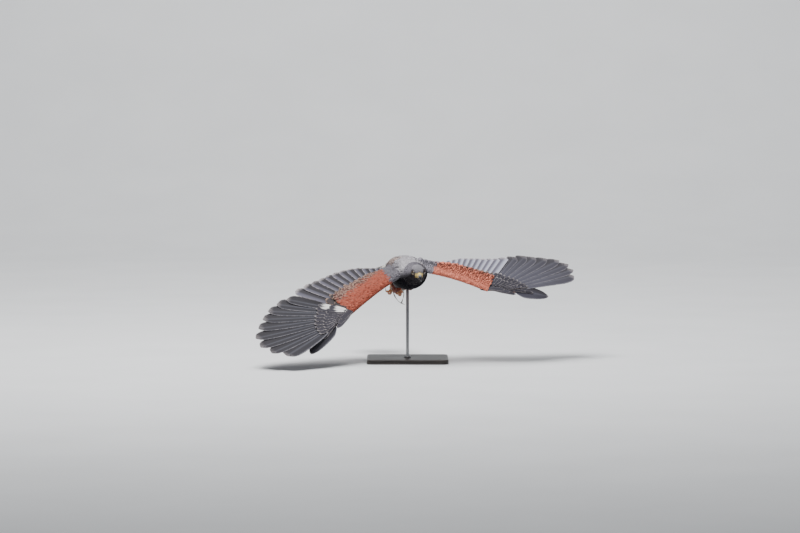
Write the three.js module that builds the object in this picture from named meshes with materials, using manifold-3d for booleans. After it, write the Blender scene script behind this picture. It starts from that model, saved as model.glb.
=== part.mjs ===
// A harris hawk in flight, life size, as a still model on a plain display stand.
// Millimetres, +Z up. The origin is the middle of the underside of the stand's base.
// The bird is drawn in its own frame: x to its left, y toward its tail, z up.
// That frame is then turned and lifted as one, so that the hawk banks over its stand.

import * as THREE from "three";
import { mergeVertices } from "three/addons/utils/BufferGeometryUtils.js";
import Module from "manifold-3d";

const wasm = await Module();
wasm.setup();

// Clearance between neighbouring pieces, the distance under which corners are one, and
// the longest short side of a needle-thin triangle that is closed up
const GAP = 0.3;
const HAIR = 0.02;
const NEEDLE_SIDE = 0.4;

// The body's attitude: it heads to +X of straight ahead, nose down, right wing low
const YAW = 20;
const PITCH = 3;
const BANK = 12;
const BODY_PLACE = [-8, 18, 286];

// Torso from rump to breast: place along the body, top, bottom, half width
const TORSO_STATIONS = [
  [122, 19, -3, 16],
  [100, 30, -20, 30],
  [60, 44, -42, 45],
  [20, 53, -50, 53],
  [-20, 54, -53, 57],
  [-55, 50, -51, 56],
  [-85, 44, -40, 46],
  [-100, 43, -25, 38],
];
const TORSO_REAR = 122;
const TORSO_FRONT = -100;

// Head: its middle in the bird's frame, and its own turn against the room
const HEAD_MIDDLE = [-8, -150, 21];
const HEAD_YAW = 11;
const HEAD_PITCH = 15;
const HEAD_BANK = 3;
const HEAD_STATIONS = [
  [30, 9, -9, 9],
  [24, 16, -15, 16],
  [12, 21, -19, 21],
  [0, 22, -20, 22.5],
  [-12, 20, -18, 20.5],
  [-22, 14.5, -15, 15],
  [-30, 8.5, -12.5, 10],
];
const EYE_RADIUS = 8.2;
const EYE_PLACE = [13.6, -13.5, 3.2];

// Face: where the eyes look, the rims of the lids, and runs along the skull for brow and
// mouth as rows of place, height and radius
const EYE_GAZE = [0.92, -0.36, 0.06];
const LID_RADIUS = 6.1;
const LID_THICKNESS = 1.3;
const LID_OUT = 5.4;
const LID_SIDES = [5, 11];
const BROW_LINE = [[-1, 9.5, 1], [-8, 11.4, 2.2], [-15, 11.2, 2.5], [-21, 9.4, 2], [-26, 6.8, 1]];
const GAPE_LINE = [[-29, -8, 0.6], [-25, -8.2, 0.6], [-20.5, -8.8, 0.55], [-16.5, -9.8, 0.4]];
const LIP = 2.2;
const NOSTRIL_PLACE = [7.4, -35.4, 1.2];
const NOSTRIL = [1.7, 1.5, 1.1];

// Wings: bone lengths, and the fitted angles of arm and hand on each side
const SHOULDER = [46, -56, 12];
const ARM_LENGTHS = { right: 184, left: 206 };
const ARM_FRONT_RISE = 11;
const ARM_CORE = { inner: -0.12, outer: 1.08, innerTwist: 12 };
const HAND_LENGTH = 78;
const CORE_TAPER = 0.72;
const WING_ANGLES = {
  right: {
    sweep: -8, droop: 28, twist: 47, innerTwist: 9.6, handSweep: 25.3, handDroop: 9.6,
    handTwist: 19.4, outerSpread: -14, innerSpread: 60, innerRise: 6, secondarySpread: 62,
  },
  left: {
    sweep: 29.2, droop: 28.4, twist: 17.2, innerTwist: 0, handSweep: 2.7, handDroop: 15,
    handTwist: 25.3, outerSpread: 11.9, innerSpread: 56, innerRise: 0, secondarySpread: 83,
  },
};
const PRIMARY_BEND = 0.035;
const PRIMARY_LENGTHS = [210, 234, 254, 269, 287, 305, 309, 298, 268, 186];
const OUTERMOST_PRIMARY = {
  right: { length: 180, spread: -14, bend: -0.1, twist: 20 },
  left: { length: 143, spread: -4, bend: -0.1, twist: 28 },
};
const PRIMARY_COUNT = PRIMARY_LENGTHS.length;
const PRIMARY_ROOTS = { inmost: 0.06, outermost: 0.96 };
const FAN_EASING = 1.15;
const HAND_CURVE = 10;

// Secondaries: their roots from the wrist inward as shares of the arm, the last of them past
// the elbow, where they turn back and ease in toward the body as tertials
const SECONDARY_COUNT = 13;
const SECONDARY_LENGTH = 190;
const SECONDARY_SHORTENING = 30;
const OUTERMOST_EXTRA = 22;
const SECONDARY_ROOTS = { first: 0.05, stride: 0.66, back: 30 };
const SECONDARY_BEND = 0.02;
const SECONDARY_SUNK = 15;
const INMOST_SPREAD = 98;
const LAST_PLACE = 1.2;
const EVEN_UNTIL = 0.8;
const TERTIALS_FROM = 0.65;
const TERTIAL_SHORTENING = 45;
const TERTIAL_DROOP = -0.14;

// Vanes: the bare quill, then outlines as rows of share of the rest, leading and trailing
// half width. Coverts have their half widths in shares of the spacing of their row.
const VANE_THICKNESS = 0.8;
const VANE_CLEARANCE = 0.7;
const STEEPEST_TILT = 0.4;
const QUILL_LENGTH = 32;
const QUILL_TIP = 1.4;
const PRIMARY_OUTLINE = [
  [0, 2.8, 3.2], [0.3, 12, 24], [0.56, 13, 30], [0.84, 12, 27], [0.95, 9, 17], [1, 3, 4],
];
const OUTERMOST_OUTLINE = [
  [0, 10, 3.5], [0.24, 17, 8], [0.52, 19, 13], [0.82, 15, 13], [0.95, 8, 8], [1, 3, 3],
];
const SEAM_WIDENING = 1.4;
const FINGERS_FROM = 0.5;
const FINGER_SLIMNESS = 0.88;
const FINGER_COUNT = 5;
const WIDEST_LEADING = 0.75;
const WIDEST_TRAILING = 1.15;
const SECONDARY_OUTLINE = [
  [0, 3.6, 4.5], [0.25, 12, 20], [0.6, 13, 22], [0.9, 12, 20], [1, 4, 7],
];
const TAIL_OUTLINE = [
  [0, 2.4, 2.4], [0.3, 9, 14], [0.6, 11, 18], [0.92, 12, 18], [1, 6, 8],
];
const COVERT_OUTLINE = [[0, 0.3, 0.3], [0.4, 0.62, 0.62], [0.86, 0.58, 0.6], [1, 0.16, 0.2]];
const LENGTH_VARIATION = 0.012;
const WIDTH_VARIATION = 0.05;

// Wing coverts: where their row ends on the feather lines, measured from the roots, and how
// far above them it lies at its own root and from a third of its length on
const GREATER_START = 5;
const GREATER_REACH = { hand: 88, arm: 80 };
const GREATER_LIFT = { root: 1.5, open: 3.5 };
const LIFT_RUN = 0.35;
const ALULA_LIFT = { root: 0.4, open: 6.2 };
const ALULA_LENGTHS = [66, 55, 43];
const ALULA_SPACING = 11;
const ALULA_SPREAD = { first: -9, step: 3 };
const ALULA_TILT = 0.05;

// Tail: twelve feathers, the middle pair on top, with short feathers above and below its root
const TAIL_ROOT = [0, 122, 8];
const TAIL_LENGTH = 236;
const TAIL_DROOP = 12;
const TAIL_TURN = 8;
const TAIL_SPREAD = 13;
const TAIL_QUILLS_BACK = 12;
const TAIL_QUILL_SPACING = 2.3;
const TAIL_ARCH = 0.13;
const TAIL_PLACES = [0.5, 1.5, 2.5, 3.5, 4.5, 5.5];
const TAIL_ROUNDING = 0.05;
const TAIL_WIDEST = { leading: 1.2, trailing: 3, topmost: 1.5 };
const TAIL_TOPMOST_RISE = 1.9;
const TAIL_COVERTS = {
  above: { places: [0.75, 2.25, 3.75, 5.1], length: 92, rise: 4.3 },
  below: { places: [0.8, 2.4, 4.2], length: 84, rise: 6.1 },
};
const INMOST_COVERT_INWARD = 0.6;

// Legs: hock and toe base of each side, in the bird's frame
const LEGS = {
  right: { hip: [-30, 12, -34], hock: [-26, 52, -60], ankle: [-12, 128, -66] },
  left: { hip: [30, 12, -34], hock: [27, 50, -62], ankle: [16, 124, -78] },
};
const SHANK_RADIUS = 4.2;

// Leather bands on the shanks, as shares of the shank, and the straps that hang from them
const ANKLET_TOP = 0.6;
const ANKLET_FOOT = 0.78;
const BAND_THICKNESS = 1.4;
const JESS_WIDTH = 8;
const JESS_THICKNESS = 1.5;
const JESS_LINES = {
  right: [[-16, 104, -68], [-16, 105, -82], [-12, 105, -96], [-4, 103, -111], [11, 99, -124]],
  left: [[18, 102, -76], [17, 103, -90], [14, 105, -101], [9, 108, -112], [4, 111, -121]],
};

// Stand
const BASE_LENGTH = 260;
const BASE_WIDTH = 220;
const BASE_HEIGHT = 14;
const BASE_CORNER = 18;
const ROD_RADIUS = 5;
const ROD_FOOT = 6;
const ROD_TOP = 264;

// Face counts of the rounder forms
const TORSO_STEPS = 14;
const TORSO_SIDES = 20;
const SKULL_STEPS = 12;
const SKULL_SIDES = 20;
const CORE_SIDES = 12;

const radians = THREE.MathUtils.degToRad;
const mix = THREE.MathUtils.lerp;

const FORWARD = new THREE.Vector3(0, -1, 0);
const UP = new THREE.Vector3(0, 0, 1);
const NOWHERE = new THREE.Vector3();

// Seeded variation: a factor near one, different at each call and the same at each build
let seed = 41;
function varied(spread) {
  seed = (seed * 16807) % 2147483647;
  return 1 + spread * ((2 * seed) / 2147483647 - 1);
}

function point(values) {
  return new THREE.Vector3(values[0], values[1], values[2]);
}

// A point reached from start by steps, each a direction and a distance
function reach(start, ...steps) {
  const end = start.clone();
  for (const [direction, distance] of steps) end.addScaledVector(direction, distance);
  return end;
}

// A unit direction with its share along another direction taken out
function squared(direction, other) {
  return direction.clone().addScaledVector(other, -direction.dot(other)).normalize();
}

// A row of numbers between the rows of a table whose first column runs one way
function between(table, at) {
  const rising = table[0][0] < table[table.length - 1][0];
  const rows = rising ? table : [...table].reverse();
  let i = 0;
  while (i < rows.length - 2 && at > rows[i + 1][0]) i += 1;
  const t = THREE.MathUtils.clamp((at - rows[i][0]) / (rows[i + 1][0] - rows[i][0]), 0, 1);
  const before = rows[Math.max(i - 1, 0)];
  const after = rows[Math.min(i + 2, rows.length - 1)];
  return rows[i].map((value, column) => {
    const next = rows[i + 1][column];
    const step = rows[i + 1][0] - rows[i][0];
    const slopeIn = ((next - before[column]) / (rows[i + 1][0] - before[0])) * step;
    const slopeOut = ((after[column] - value) / (after[0] - rows[i][0])) * step;
    const t2 = t * t;
    const t3 = t2 * t;
    return (2 * t3 - 3 * t2 + 1) * value + (t3 - 2 * t2 + t) * slopeIn
      + (3 * t2 - 2 * t3) * next + (t3 - t2) * slopeOut;
  });
}

// The volume inside a closed surface, negative when its faces point inward
function signedVolume(geometry) {
  const { array } = geometry.attributes.position;
  const index = geometry.index.array;
  const corner = (i) => new THREE.Vector3().fromArray(array, index[i] * 3);
  let volume = 0;
  for (let i = 0; i < index.length; i += 3) {
    volume += corner(i).dot(corner(i + 1).cross(corner(i + 2))) / 6;
  }
  return volume;
}

// A closed surface through rings of equal point count, with a flat end at each side.
// Thin plates ask for alike faces, so that both their broad faces share their diagonals.
function loft(rings, alikeFaces = false) {
  const count = rings[0].length;
  const index = [];
  for (let i = 0; i + 1 < rings.length; i += 1) {
    for (let k = 0; k < count; k += 1) {
      const a = i * count + k;
      const b = i * count + ((k + 1) % count);
      const c = b + count;
      const d = a + count;
      if (alikeFaces && k >= count / 2) index.push(a, b, d, b, c, d);
      else index.push(a, b, c, a, c, d);
    }
  }
  const last = (rings.length - 1) * count;
  for (let k = 1; k + 1 < count; k += 1) {
    index.push(0, k + 1, k);
    index.push(last, last + k, last + k + 1);
  }
  const geometry = new THREE.BufferGeometry();
  const positions = rings.flat().flatMap((p) => p.toArray());
  geometry.setAttribute("position", new THREE.Float32BufferAttribute(positions, 3));
  geometry.setIndex(index);
  if (signedVolume(geometry) < 0) index.reverse();
  geometry.setIndex(index);
  return geometry;
}

function solidOf(geometry) {
  const bare = geometry.clone();
  bare.deleteAttribute("normal");
  bare.deleteAttribute("uv");
  const merged = mergeVertices(bare, 1e-4);
  const mesh = new wasm.Mesh({
    numProp: 3,
    vertProperties: Float32Array.from(merged.attributes.position.array),
    triVerts: Uint32Array.from(merged.index.array),
  });
  return new wasm.Manifold(mesh);
}

function joined(geometries) {
  return geometries.map(solidOf).reduce((whole, next) => whole.add(next));
}

function without(solid, geometries) {
  return geometries.map(solidOf).reduce((rest, next) => rest.subtract(next), solid);
}

// A triangle's height over its longest edge, and its corners from that edge's start
function slimness(corners, triangle) {
  const lengths = triangle.map((a, k) => corners[a].distanceTo(corners[triangle[(k + 1) % 3]]));
  const k = lengths.indexOf(Math.max(...lengths));
  const [a, b, c] = [0, 1, 2].map((step) => triangle[(k + step) % 3]);
  const span = corners[b].clone().sub(corners[a]);
  const height = span.cross(corners[c].clone().sub(corners[a])).length() / lengths[k];
  return { height, order: [a, b, c] };
}

// Cuts leave corners a hair apart, and needles that nothing turns. Such a pair of corners
// becomes one, and the triangles that this flattens go.
function welded(corners, triangles, needlesToo) {
  const home = corners.map((_, i) => i);
  const find = (i) => (home[i] === i ? i : find(home[i]));
  for (const triangle of triangles) {
    const needle = needlesToo && slimness(corners, triangle).height < HAIR / 4;
    const closest = needle ? NEEDLE_SIDE : HAIR;
    const lengths = triangle.map((a, k) => corners[a].distanceTo(corners[triangle[(k + 1) % 3]]));
    const shortest = Math.min(...lengths);
    const k = lengths.indexOf(shortest);
    const a = find(triangle[k]);
    const b = find(triangle[(k + 1) % 3]);
    if (a !== b && shortest < closest) home[Math.max(a, b)] = Math.min(a, b);
  }
  return triangles.map((triangle) => triangle.map(find)).filter(([a, b, c]) => (
    a !== b && b !== c && c !== a
  ));
}

// A triangle whose third corner lies on its long edge is turned with its neighbour
function turnNeedles(corners, triangles) {
  const owner = new Map();
  const enter = (i) => triangles[i].forEach((a, k) => {
    owner.set(`${a},${triangles[i][(k + 1) % 3]}`, i);
  });
  triangles.forEach((_, i) => enter(i));
  let turned = 0;
  for (let i = 0; i < triangles.length; i += 1) {
    const { height, order: [a, b, c] } = slimness(corners, triangles[i]);
    const j = owner.get(`${b},${a}`);
    if (height >= HAIR / 4 || j === undefined) continue;
    const d = triangles[j].find((corner) => corner !== a && corner !== b);
    if (d === c || owner.has(`${c},${d}`) || owner.has(`${d},${c}`)) continue;
    const pair = [[a, d, c], [d, b, c]];
    const slimmest = Math.min(...pair.map((one) => slimness(corners, one).height));
    if (slimmest <= Math.min(height, slimness(corners, triangles[j]).height)) continue;
    owner.delete(`${a},${b}`);
    owner.delete(`${b},${a}`);
    [triangles[i], triangles[j]] = pair;
    enter(i);
    enter(j);
    turned += 1;
  }
  return turned;
}

// A solid's largest closed surface, as a geometry
function geometryOf(solid) {
  const pieces = solid.decompose();
  const largest = pieces.reduce((a, b) => (b.volume() > a.volume() ? b : a));
  const { vertProperties, triVerts } = largest.getMesh();
  const corners = [];
  for (let i = 0; i < vertProperties.length; i += 3) {
    corners.push(new THREE.Vector3().fromArray(vertProperties, i));
  }
  let triangles = [];
  for (let i = 0; i < triVerts.length; i += 3) triangles.push(Array.from(triVerts.slice(i, i + 3)));
  for (let round = 0; round < 4; round += 1) {
    triangles = welded(corners, triangles, round > 1);
    turnNeedles(corners, triangles);
  }
  const geometry = new THREE.BufferGeometry();
  const positions = corners.flatMap((corner) => corner.toArray());
  geometry.setAttribute("position", new THREE.Float32BufferAttribute(positions, 3));
  geometry.setIndex(triangles.flat());
  return geometry;
}

const COLOURS = {
  dark: new THREE.MeshStandardMaterial({ color: 0x2c2628, roughness: 0.75, metalness: 0 }),
  plume: new THREE.MeshStandardMaterial({ color: 0x4a4550, roughness: 0.6, metalness: 0 }),
  rufous: new THREE.MeshStandardMaterial({ color: 0x8a4a34, roughness: 0.75, metalness: 0 }),
  yellow: new THREE.MeshStandardMaterial({ color: 0xd9b048, roughness: 0.5, metalness: 0 }),
  horn: new THREE.MeshStandardMaterial({ color: 0x2a2c33, roughness: 0.35, metalness: 0 }),
  eye: new THREE.MeshStandardMaterial({ color: 0x24120a, roughness: 0.08, metalness: 0 }),
  leather: new THREE.MeshStandardMaterial({ color: 0x6e6a66, roughness: 0.7, metalness: 0 }),
  stand: new THREE.MeshStandardMaterial({ color: 0x2f3032, roughness: 0.45, metalness: 0.3 }),
};

function piece(name, geometry, material) {
  geometry.computeVertexNormals();
  const mesh = new THREE.Mesh(geometry, material.clone());
  mesh.name = name;
  return mesh;
}

// The bird's frame and the head's frame
const bird = new THREE.Group();
bird.position.fromArray(BODY_PLACE);
bird.rotation.copy(new THREE.Euler(radians(PITCH), radians(-BANK), radians(YAW), "ZXY"));
bird.updateMatrixWorld(true);

const headTurn = new THREE.Quaternion().setFromEuler(
  new THREE.Euler(radians(HEAD_PITCH), radians(-HEAD_BANK), radians(HEAD_YAW), "ZXY"),
);
const headFrame = new THREE.Matrix4().compose(
  point(HEAD_MIDDLE),
  bird.quaternion.clone().invert().multiply(headTurn),
  new THREE.Vector3(1, 1, 1),
);

// Rings of an egg-shaped section, from a table of place, top, bottom and half width
function trunk(stations, from, to, steps, around, grow) {
  const rings = [];
  for (let i = 0; i <= steps; i += 1) {
    const at = mix(from, to, i / steps);
    const [, top, bottom, halfWidth] = between(stations, at);
    const middle = (top + bottom) / 2;
    const ring = [];
    for (let k = 0; k < around; k += 1) {
      const angle = (2 * Math.PI * k) / around;
      const height = (top - bottom) / 2 + grow;
      ring.push(point([
        (halfWidth + grow) * Math.cos(angle), at, middle + height * Math.sin(angle),
      ]));
    }
    rings.push(ring);
  }
  return loft(rings);
}

function torsoForm(grow) {
  return trunk(TORSO_STATIONS, TORSO_REAR + grow, TORSO_FRONT - grow, TORSO_STEPS, TORSO_SIDES, grow);
}

function skullForm(grow) {
  const nape = HEAD_STATIONS[0][0];
  const form = trunk(HEAD_STATIONS, nape + grow, -nape - grow, SKULL_STEPS, SKULL_SIDES, grow);
  return form.applyMatrix4(headFrame);
}

// A ball at a place, stretched along the three directions
function ball(place, radii, around = 16, rows = 10) {
  const form = new THREE.SphereGeometry(1, around, rows);
  form.scale(radii[0], radii[1], radii[2]);
  return form.translate(place[0], place[1], place[2]);
}

// Oval rings along a run of stations, each with its middle, width and height
function limb(stations, around, grow = 0) {
  const rings = stations.map((station, i) => {
    const before = stations[Math.max(i - 1, 0)].middle;
    const after = stations[Math.min(i + 1, stations.length - 1)].middle;
    const axis = after.clone().sub(before).normalize();
    const side = squared(station.side, axis);
    const rise = new THREE.Vector3().crossVectors(axis, side);
    const ring = [];
    for (let k = 0; k < around; k += 1) {
      const angle = (2 * Math.PI * (k + 0.5)) / around;
      ring.push(reach(
        station.middle,
        [side, (station.wide + grow) * Math.cos(angle)],
        [rise, (station.high + grow) * Math.sin(angle)],
      ));
    }
    return ring;
  });
  return loft(rings);
}

// The directions of a wing part: along its bone, back along its chord, and up from it
function wingFrame(out, sweep, droop, twist) {
  const axis = reach(
    NOWHERE,
    [out, Math.cos(sweep) * Math.cos(droop)],
    [FORWARD, Math.sin(sweep) * Math.cos(droop)],
    [UP, -Math.sin(droop)],
  );
  const flatChord = squared(
    reach(NOWHERE, [FORWARD, -Math.cos(sweep)], [out, Math.sin(sweep)]), axis,
  );
  const flatUp = squared(squared(UP, axis), flatChord);
  return {
    axis,
    chord: reach(NOWHERE, [flatChord, Math.cos(twist)], [flatUp, Math.sin(twist)]),
    up: reach(NOWHERE, [flatUp, Math.cos(twist)], [flatChord, -Math.sin(twist)]),
  };
}

// How near the body a secondary is, from its place along the arm: even at first, then easing
function nearness(t) {
  if (t < EVEN_UNTIL) return Math.max(t, 0);
  return t - (t - EVEN_UNTIL) ** 2 / (2 * (LAST_PLACE - EVEN_UNTIL));
}

function placeAlong(i) {
  return nearness((LAST_PLACE * (i - PRIMARY_COUNT)) / (SECONDARY_COUNT - 1));
}

// One wing: its joints and the line of every flight feather, from the outermost inward
function wingPlan(side) {
  const out = new THREE.Vector3(side === "left" ? 1 : -1, 0, 0);
  const angles = {};
  for (const [name, value] of Object.entries(WING_ANGLES[side])) angles[name] = radians(value);
  const armLength = ARM_LENGTHS[side];
  const shoulder = point(SHOULDER);
  shoulder.x *= out.x;
  const armAt = (twist) => wingFrame(out, angles.sweep, angles.droop, twist);
  const arm = armAt(angles.twist);
  const hand = wingFrame(out, angles.handSweep, angles.handDroop, angles.handTwist);
  const wrist = reach(shoulder, [arm.axis, armLength]);
  const feathers = [];
  for (let j = PRIMARY_COUNT; j >= 1; j -= 1) {
    const t = (j - 1) / (PRIMARY_COUNT - 1);
    const outermost = j === PRIMARY_COUNT ? OUTERMOST_PRIMARY[side] : null;
    const fan = mix(angles.innerSpread, angles.outerSpread, t ** FAN_EASING);
    const spread = outermost ? radians(outermost.spread) : fan;
    const share = mix(PRIMARY_ROOTS.inmost, PRIMARY_ROOTS.outermost, t);
    const straight = reach(wrist, [hand.axis, HAND_LENGTH * share]);
    const usual = outermost ? outermost.length : PRIMARY_LENGTHS[j - 1];
    const length = usual * varied(LENGTH_VARIATION);
    const rise = angles.innerRise * (1 - t) ** 2;
    const tip = reach(
      straight,
      [hand.axis, length * Math.cos(spread)],
      [hand.chord, length * Math.sin(spread)],
      [hand.up, length * Math.sin(rise)],
    );
    const root = reach(straight, [hand.chord, -HAND_CURVE * t * t]);
    feathers.push({
      root,
      along: tip.clone().sub(root).normalize(),
      up: hand.up,
      length: tip.distanceTo(root),
      bend: outermost ? outermost.bend : PRIMARY_BEND,
    });
  }
  for (let i = 0; i < SECONDARY_COUNT; i += 1) {
    const t = (LAST_PLACE * i) / (SECONDARY_COUNT - 1);
    const near = nearness(t);
    const past = (t - TERTIALS_FROM) / (LAST_PLACE - TERTIALS_FROM);
    const tertial = Math.max(past, 0) ** 1.5;
    const local = armAt(mix(angles.twist, angles.innerTwist, near));
    const spread = mix(angles.secondarySpread, radians(INMOST_SPREAD), near);
    const inward = armLength * (SECONDARY_ROOTS.first + SECONDARY_ROOTS.stride * t);
    feathers.push({
      root: reach(
        wrist, [local.axis, -inward], [local.chord, SECONDARY_ROOTS.back * near],
      ),
      along: reach(NOWHERE, [local.axis, Math.cos(spread)], [local.chord, Math.sin(spread)]),
      up: local.up,
      length: varied(LENGTH_VARIATION) * (
        SECONDARY_LENGTH - SECONDARY_SHORTENING * near + OUTERMOST_EXTRA * (1 - near) ** 4
        - TERTIAL_SHORTENING * tertial
      ),
      bend: mix(SECONDARY_BEND, TERTIAL_DROOP, tertial),
    });
  }
  const outermostTwist = radians(OUTERMOST_PRIMARY[side].twist);
  return { angles, armLength, shoulder, wrist, arm, hand, armAt, feathers, outermostTwist, out };
}

// A point on a feather's line at a distance from its root, with the upward bend of its tip
function featherPoint(feather, distance) {
  const t = distance / feather.length;
  return reach(
    feather.root, [feather.along, distance], [feather.up, feather.bend * feather.length * t * t],
  );
}

// A thin blade along a line. At each distance the line gives the blade's middle and the
// directions along it and across it to its leading edge.
function blade({ lineAt, stations }, grow = 0) {
  const rings = stations.map(({ distance, leading, trailing }) => {
    const { middle, along, across } = lineAt(distance);
    const face = new THREE.Vector3().crossVectors(along, across);
    const half = VANE_THICKNESS / 2 + grow;
    return [
      reach(middle, [across, leading + grow], [face, half]),
      reach(middle, [across, -trailing - grow], [face, half]),
      reach(middle, [across, -trailing - grow], [face, -half]),
      reach(middle, [across, leading + grow], [face, -half]),
    ];
  });
  return loft(rings, true);
}

// The stations of a flight feather: its quill, then its outline, slimmer past the middle
// where the feather stands apart from its neighbours as a finger. Where the feathers are
// close, the vane is no wider than lets it pass between its neighbours.
function flightStations(outline, length, limitsAt, { sunk = 0, slimness = 1 } = {}) {
  const wide = varied(WIDTH_VARIATION);
  const vane = outline.map(([share, leading, trailing]) => {
    const slim = share > FINGERS_FROM ? slimness : 1;
    const distance = mix(QUILL_LENGTH, length, share);
    const limits = limitsAt(distance);
    return {
      distance,
      leading: Math.min(leading * wide * slim, limits.leading),
      trailing: Math.min(trailing * wide * slim, limits.trailing),
    };
  });
  return [{ distance: -sunk, leading: QUILL_TIP, trailing: QUILL_TIP }, ...vane];
}

// The stations of a covert, whose width follows the spacing of its row
function covertStations(outline, from, to, spacingAt) {
  const wide = varied(WIDTH_VARIATION);
  return outline.map(([share, leading, trailing]) => {
    const distance = mix(from, to, share);
    const width = spacingAt(distance) * wide;
    return { distance, leading: leading * width, trailing: trailing * width };
  });
}

// How much a vane is tilted so that its leading edge clears the vane beside it
function tiltFor(spacing) {
  return Math.asin(Math.min((VANE_THICKNESS + VANE_CLEARANCE) / spacing, STEEPEST_TILT));
}

// The line of one feather of a wing, or of the covert that lies over it
function wingLine(plan, i, liftAt = () => 0) {
  const { feathers } = plan;
  const near = THREE.MathUtils.clamp(i, 2, feathers.length - 2);
  const apart = (distance, along) => {
    const outer = featherPoint(feathers[near - 1], distance);
    const across = outer.sub(featherPoint(feathers[near + 1], distance));
    return across.addScaledVector(along, -across.dot(along));
  };
  return (distance) => {
    const start = featherPoint(feathers[i], distance);
    const along = featherPoint(feathers[i], distance + 1).sub(start).normalize();
    const onHand = i < PRIMARY_COUNT - 1;
    const lead = apart(onHand ? Math.max(distance, 2 * QUILL_LENGTH) : distance, along).normalize();
    const rise = new THREE.Vector3().crossVectors(lead, along);
    if (rise.dot(feathers[i].up) < 0) rise.negate();
    const spacing = apart(distance, along).length() / 2;
    const tilt = i === 0 ? -plan.outermostTwist : tiltFor(spacing);
    return {
      middle: reach(start, [rise, liftAt(distance)]),
      along,
      across: reach(NOWHERE, [lead, Math.cos(tilt)], [rise, Math.sin(tilt)]),
      spacing,
    };
  };
}

function flightFeather(plan, i) {
  const { length } = plan.feathers[i];
  const lineAt = wingLine(plan, i);
  if (i === 0) {
    const free = () => ({ leading: Infinity, trailing: Infinity });
    return { lineAt, stations: flightStations(OUTERMOST_OUTLINE, length, free) };
  }
  const leadingShare = WIDEST_LEADING * (i === 1 || i === PRIMARY_COUNT ? SEAM_WIDENING : 1);
  const trailingShare = WIDEST_TRAILING * (i === PRIMARY_COUNT - 1 ? SEAM_WIDENING : 1);
  const limitsAt = (distance) => {
    const { spacing } = lineAt(distance);
    return { leading: leadingShare * spacing, trailing: trailingShare * spacing };
  };
  if (i < PRIMARY_COUNT) {
    const finger = THREE.MathUtils.clamp((FINGER_COUNT - i) / 2, 0, 1);
    const slimness = mix(1, FINGER_SLIMNESS, finger);
    return { lineAt, stations: flightStations(PRIMARY_OUTLINE, length, limitsAt, { slimness }) };
  }
  const widening = i === PRIMARY_COUNT ? SEAM_WIDENING : 1;
  const outline = SECONDARY_OUTLINE.map(([share, leading, trailing]) => (
    [share, leading * widening, trailing]
  ));
  const sunk = SECONDARY_SUNK * placeAlong(i);
  return { lineAt, stations: flightStations(outline, length, limitsAt, { sunk }) };
}

// A lift that is low at a covert's root, in the flesh, and level from a third of its length on
function liftFrom(from, to, lift) {
  return (distance) => {
    const share = THREE.MathUtils.clamp((distance - from) / (LIFT_RUN * (to - from)), 0, 1);
    return mix(lift.root, lift.open, share);
  };
}

// The greater covert over one flight feather. Toward the body the feathers are rooted far
// back on the flesh, and their coverts start ahead of those roots.
function covertOver(plan, i) {
  const from = mix(GREATER_START, -SECONDARY_SUNK, placeAlong(i));
  const to = i < PRIMARY_COUNT ? GREATER_REACH.hand : GREATER_REACH.arm;
  const lineAt = wingLine(plan, i, liftFrom(from, to, GREATER_LIFT));
  const end = to * varied(2 * LENGTH_VARIATION);
  const spacingAt = (distance) => lineAt(distance).spacing;
  return { lineAt, stations: covertStations(COVERT_OUTLINE, from, end, spacingAt) };
}

// Three short feathers, one on another, over the leading edge of the hand
function alula(plan) {
  const { hand, wrist } = plan;
  return ALULA_LENGTHS.map((length, k) => {
    const spread = radians(ALULA_SPREAD.first + ALULA_SPREAD.step * k);
    const along = reach(NOWHERE, [hand.axis, Math.cos(spread)], [hand.chord, Math.sin(spread)]);
    const lead = squared(hand.chord, along).negate();
    const level = (VANE_THICKNESS + VANE_CLEARANCE) * k;
    const slope = liftFrom(0, ALULA_LENGTHS[0], ALULA_LIFT);
    const liftAt = (distance) => level + slope(distance);
    const root = reach(wrist, [hand.axis, 6], [hand.chord, -1]);
    const lineAt = (distance) => ({
      middle: reach(root, [along, distance], [hand.up, liftAt(distance)]),
      along,
      across: reach(NOWHERE, [lead, Math.cos(ALULA_TILT)], [hand.up, Math.sin(ALULA_TILT)]),
    });
    return { lineAt, stations: covertStations(COVERT_OUTLINE, 0, length, () => ALULA_SPACING) };
  });
}

// The fleshy front of the wing, a section like an aerofoil carried along the bone
function wingCore(start, axis, length, frameAt, sizeAt, steps) {
  const rings = [];
  for (let i = 0; i <= steps; i += 1) {
    const t = i / steps;
    const frame = frameAt(t);
    const { front, back, thick, drop, frontRise } = sizeAt(t);
    const ring = [];
    for (let k = 0; k < CORE_SIDES; k += 1) {
      const angle = (2 * Math.PI * k) / CORE_SIDES;
      const place = (1 - Math.cos(angle)) / 2;
      const depth = thick * Math.sin(angle) * (1 - CORE_TAPER * place);
      ring.push(reach(
        start,
        [axis, length * t],
        [frame.chord, mix(-front, back, place)],
        [frame.up, depth - drop + frontRise * (1 - place)],
      ));
    }
    rings.push(ring);
  }
  return loft(rings);
}

function armCore(plan) {
  const { inner, outer, innerTwist } = ARM_CORE;
  const frameAt = (t) => plan.armAt(mix(radians(innerTwist), plan.angles.twist, t));
  const sizeAt = (t) => ({
    front: mix(26, 5, t),
    back: mix(48, 30, t),
    thick: mix(17, 7.5, t),
    drop: mix(4, 1, t),
    frontRise: ARM_FRONT_RISE * Math.sin(Math.PI * t),
  });
  const start = reach(plan.shoulder, [plan.arm.axis, inner * plan.armLength]);
  return wingCore(start, plan.arm.axis, plan.armLength * (outer - inner), frameAt, sizeAt, 9);
}

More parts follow.
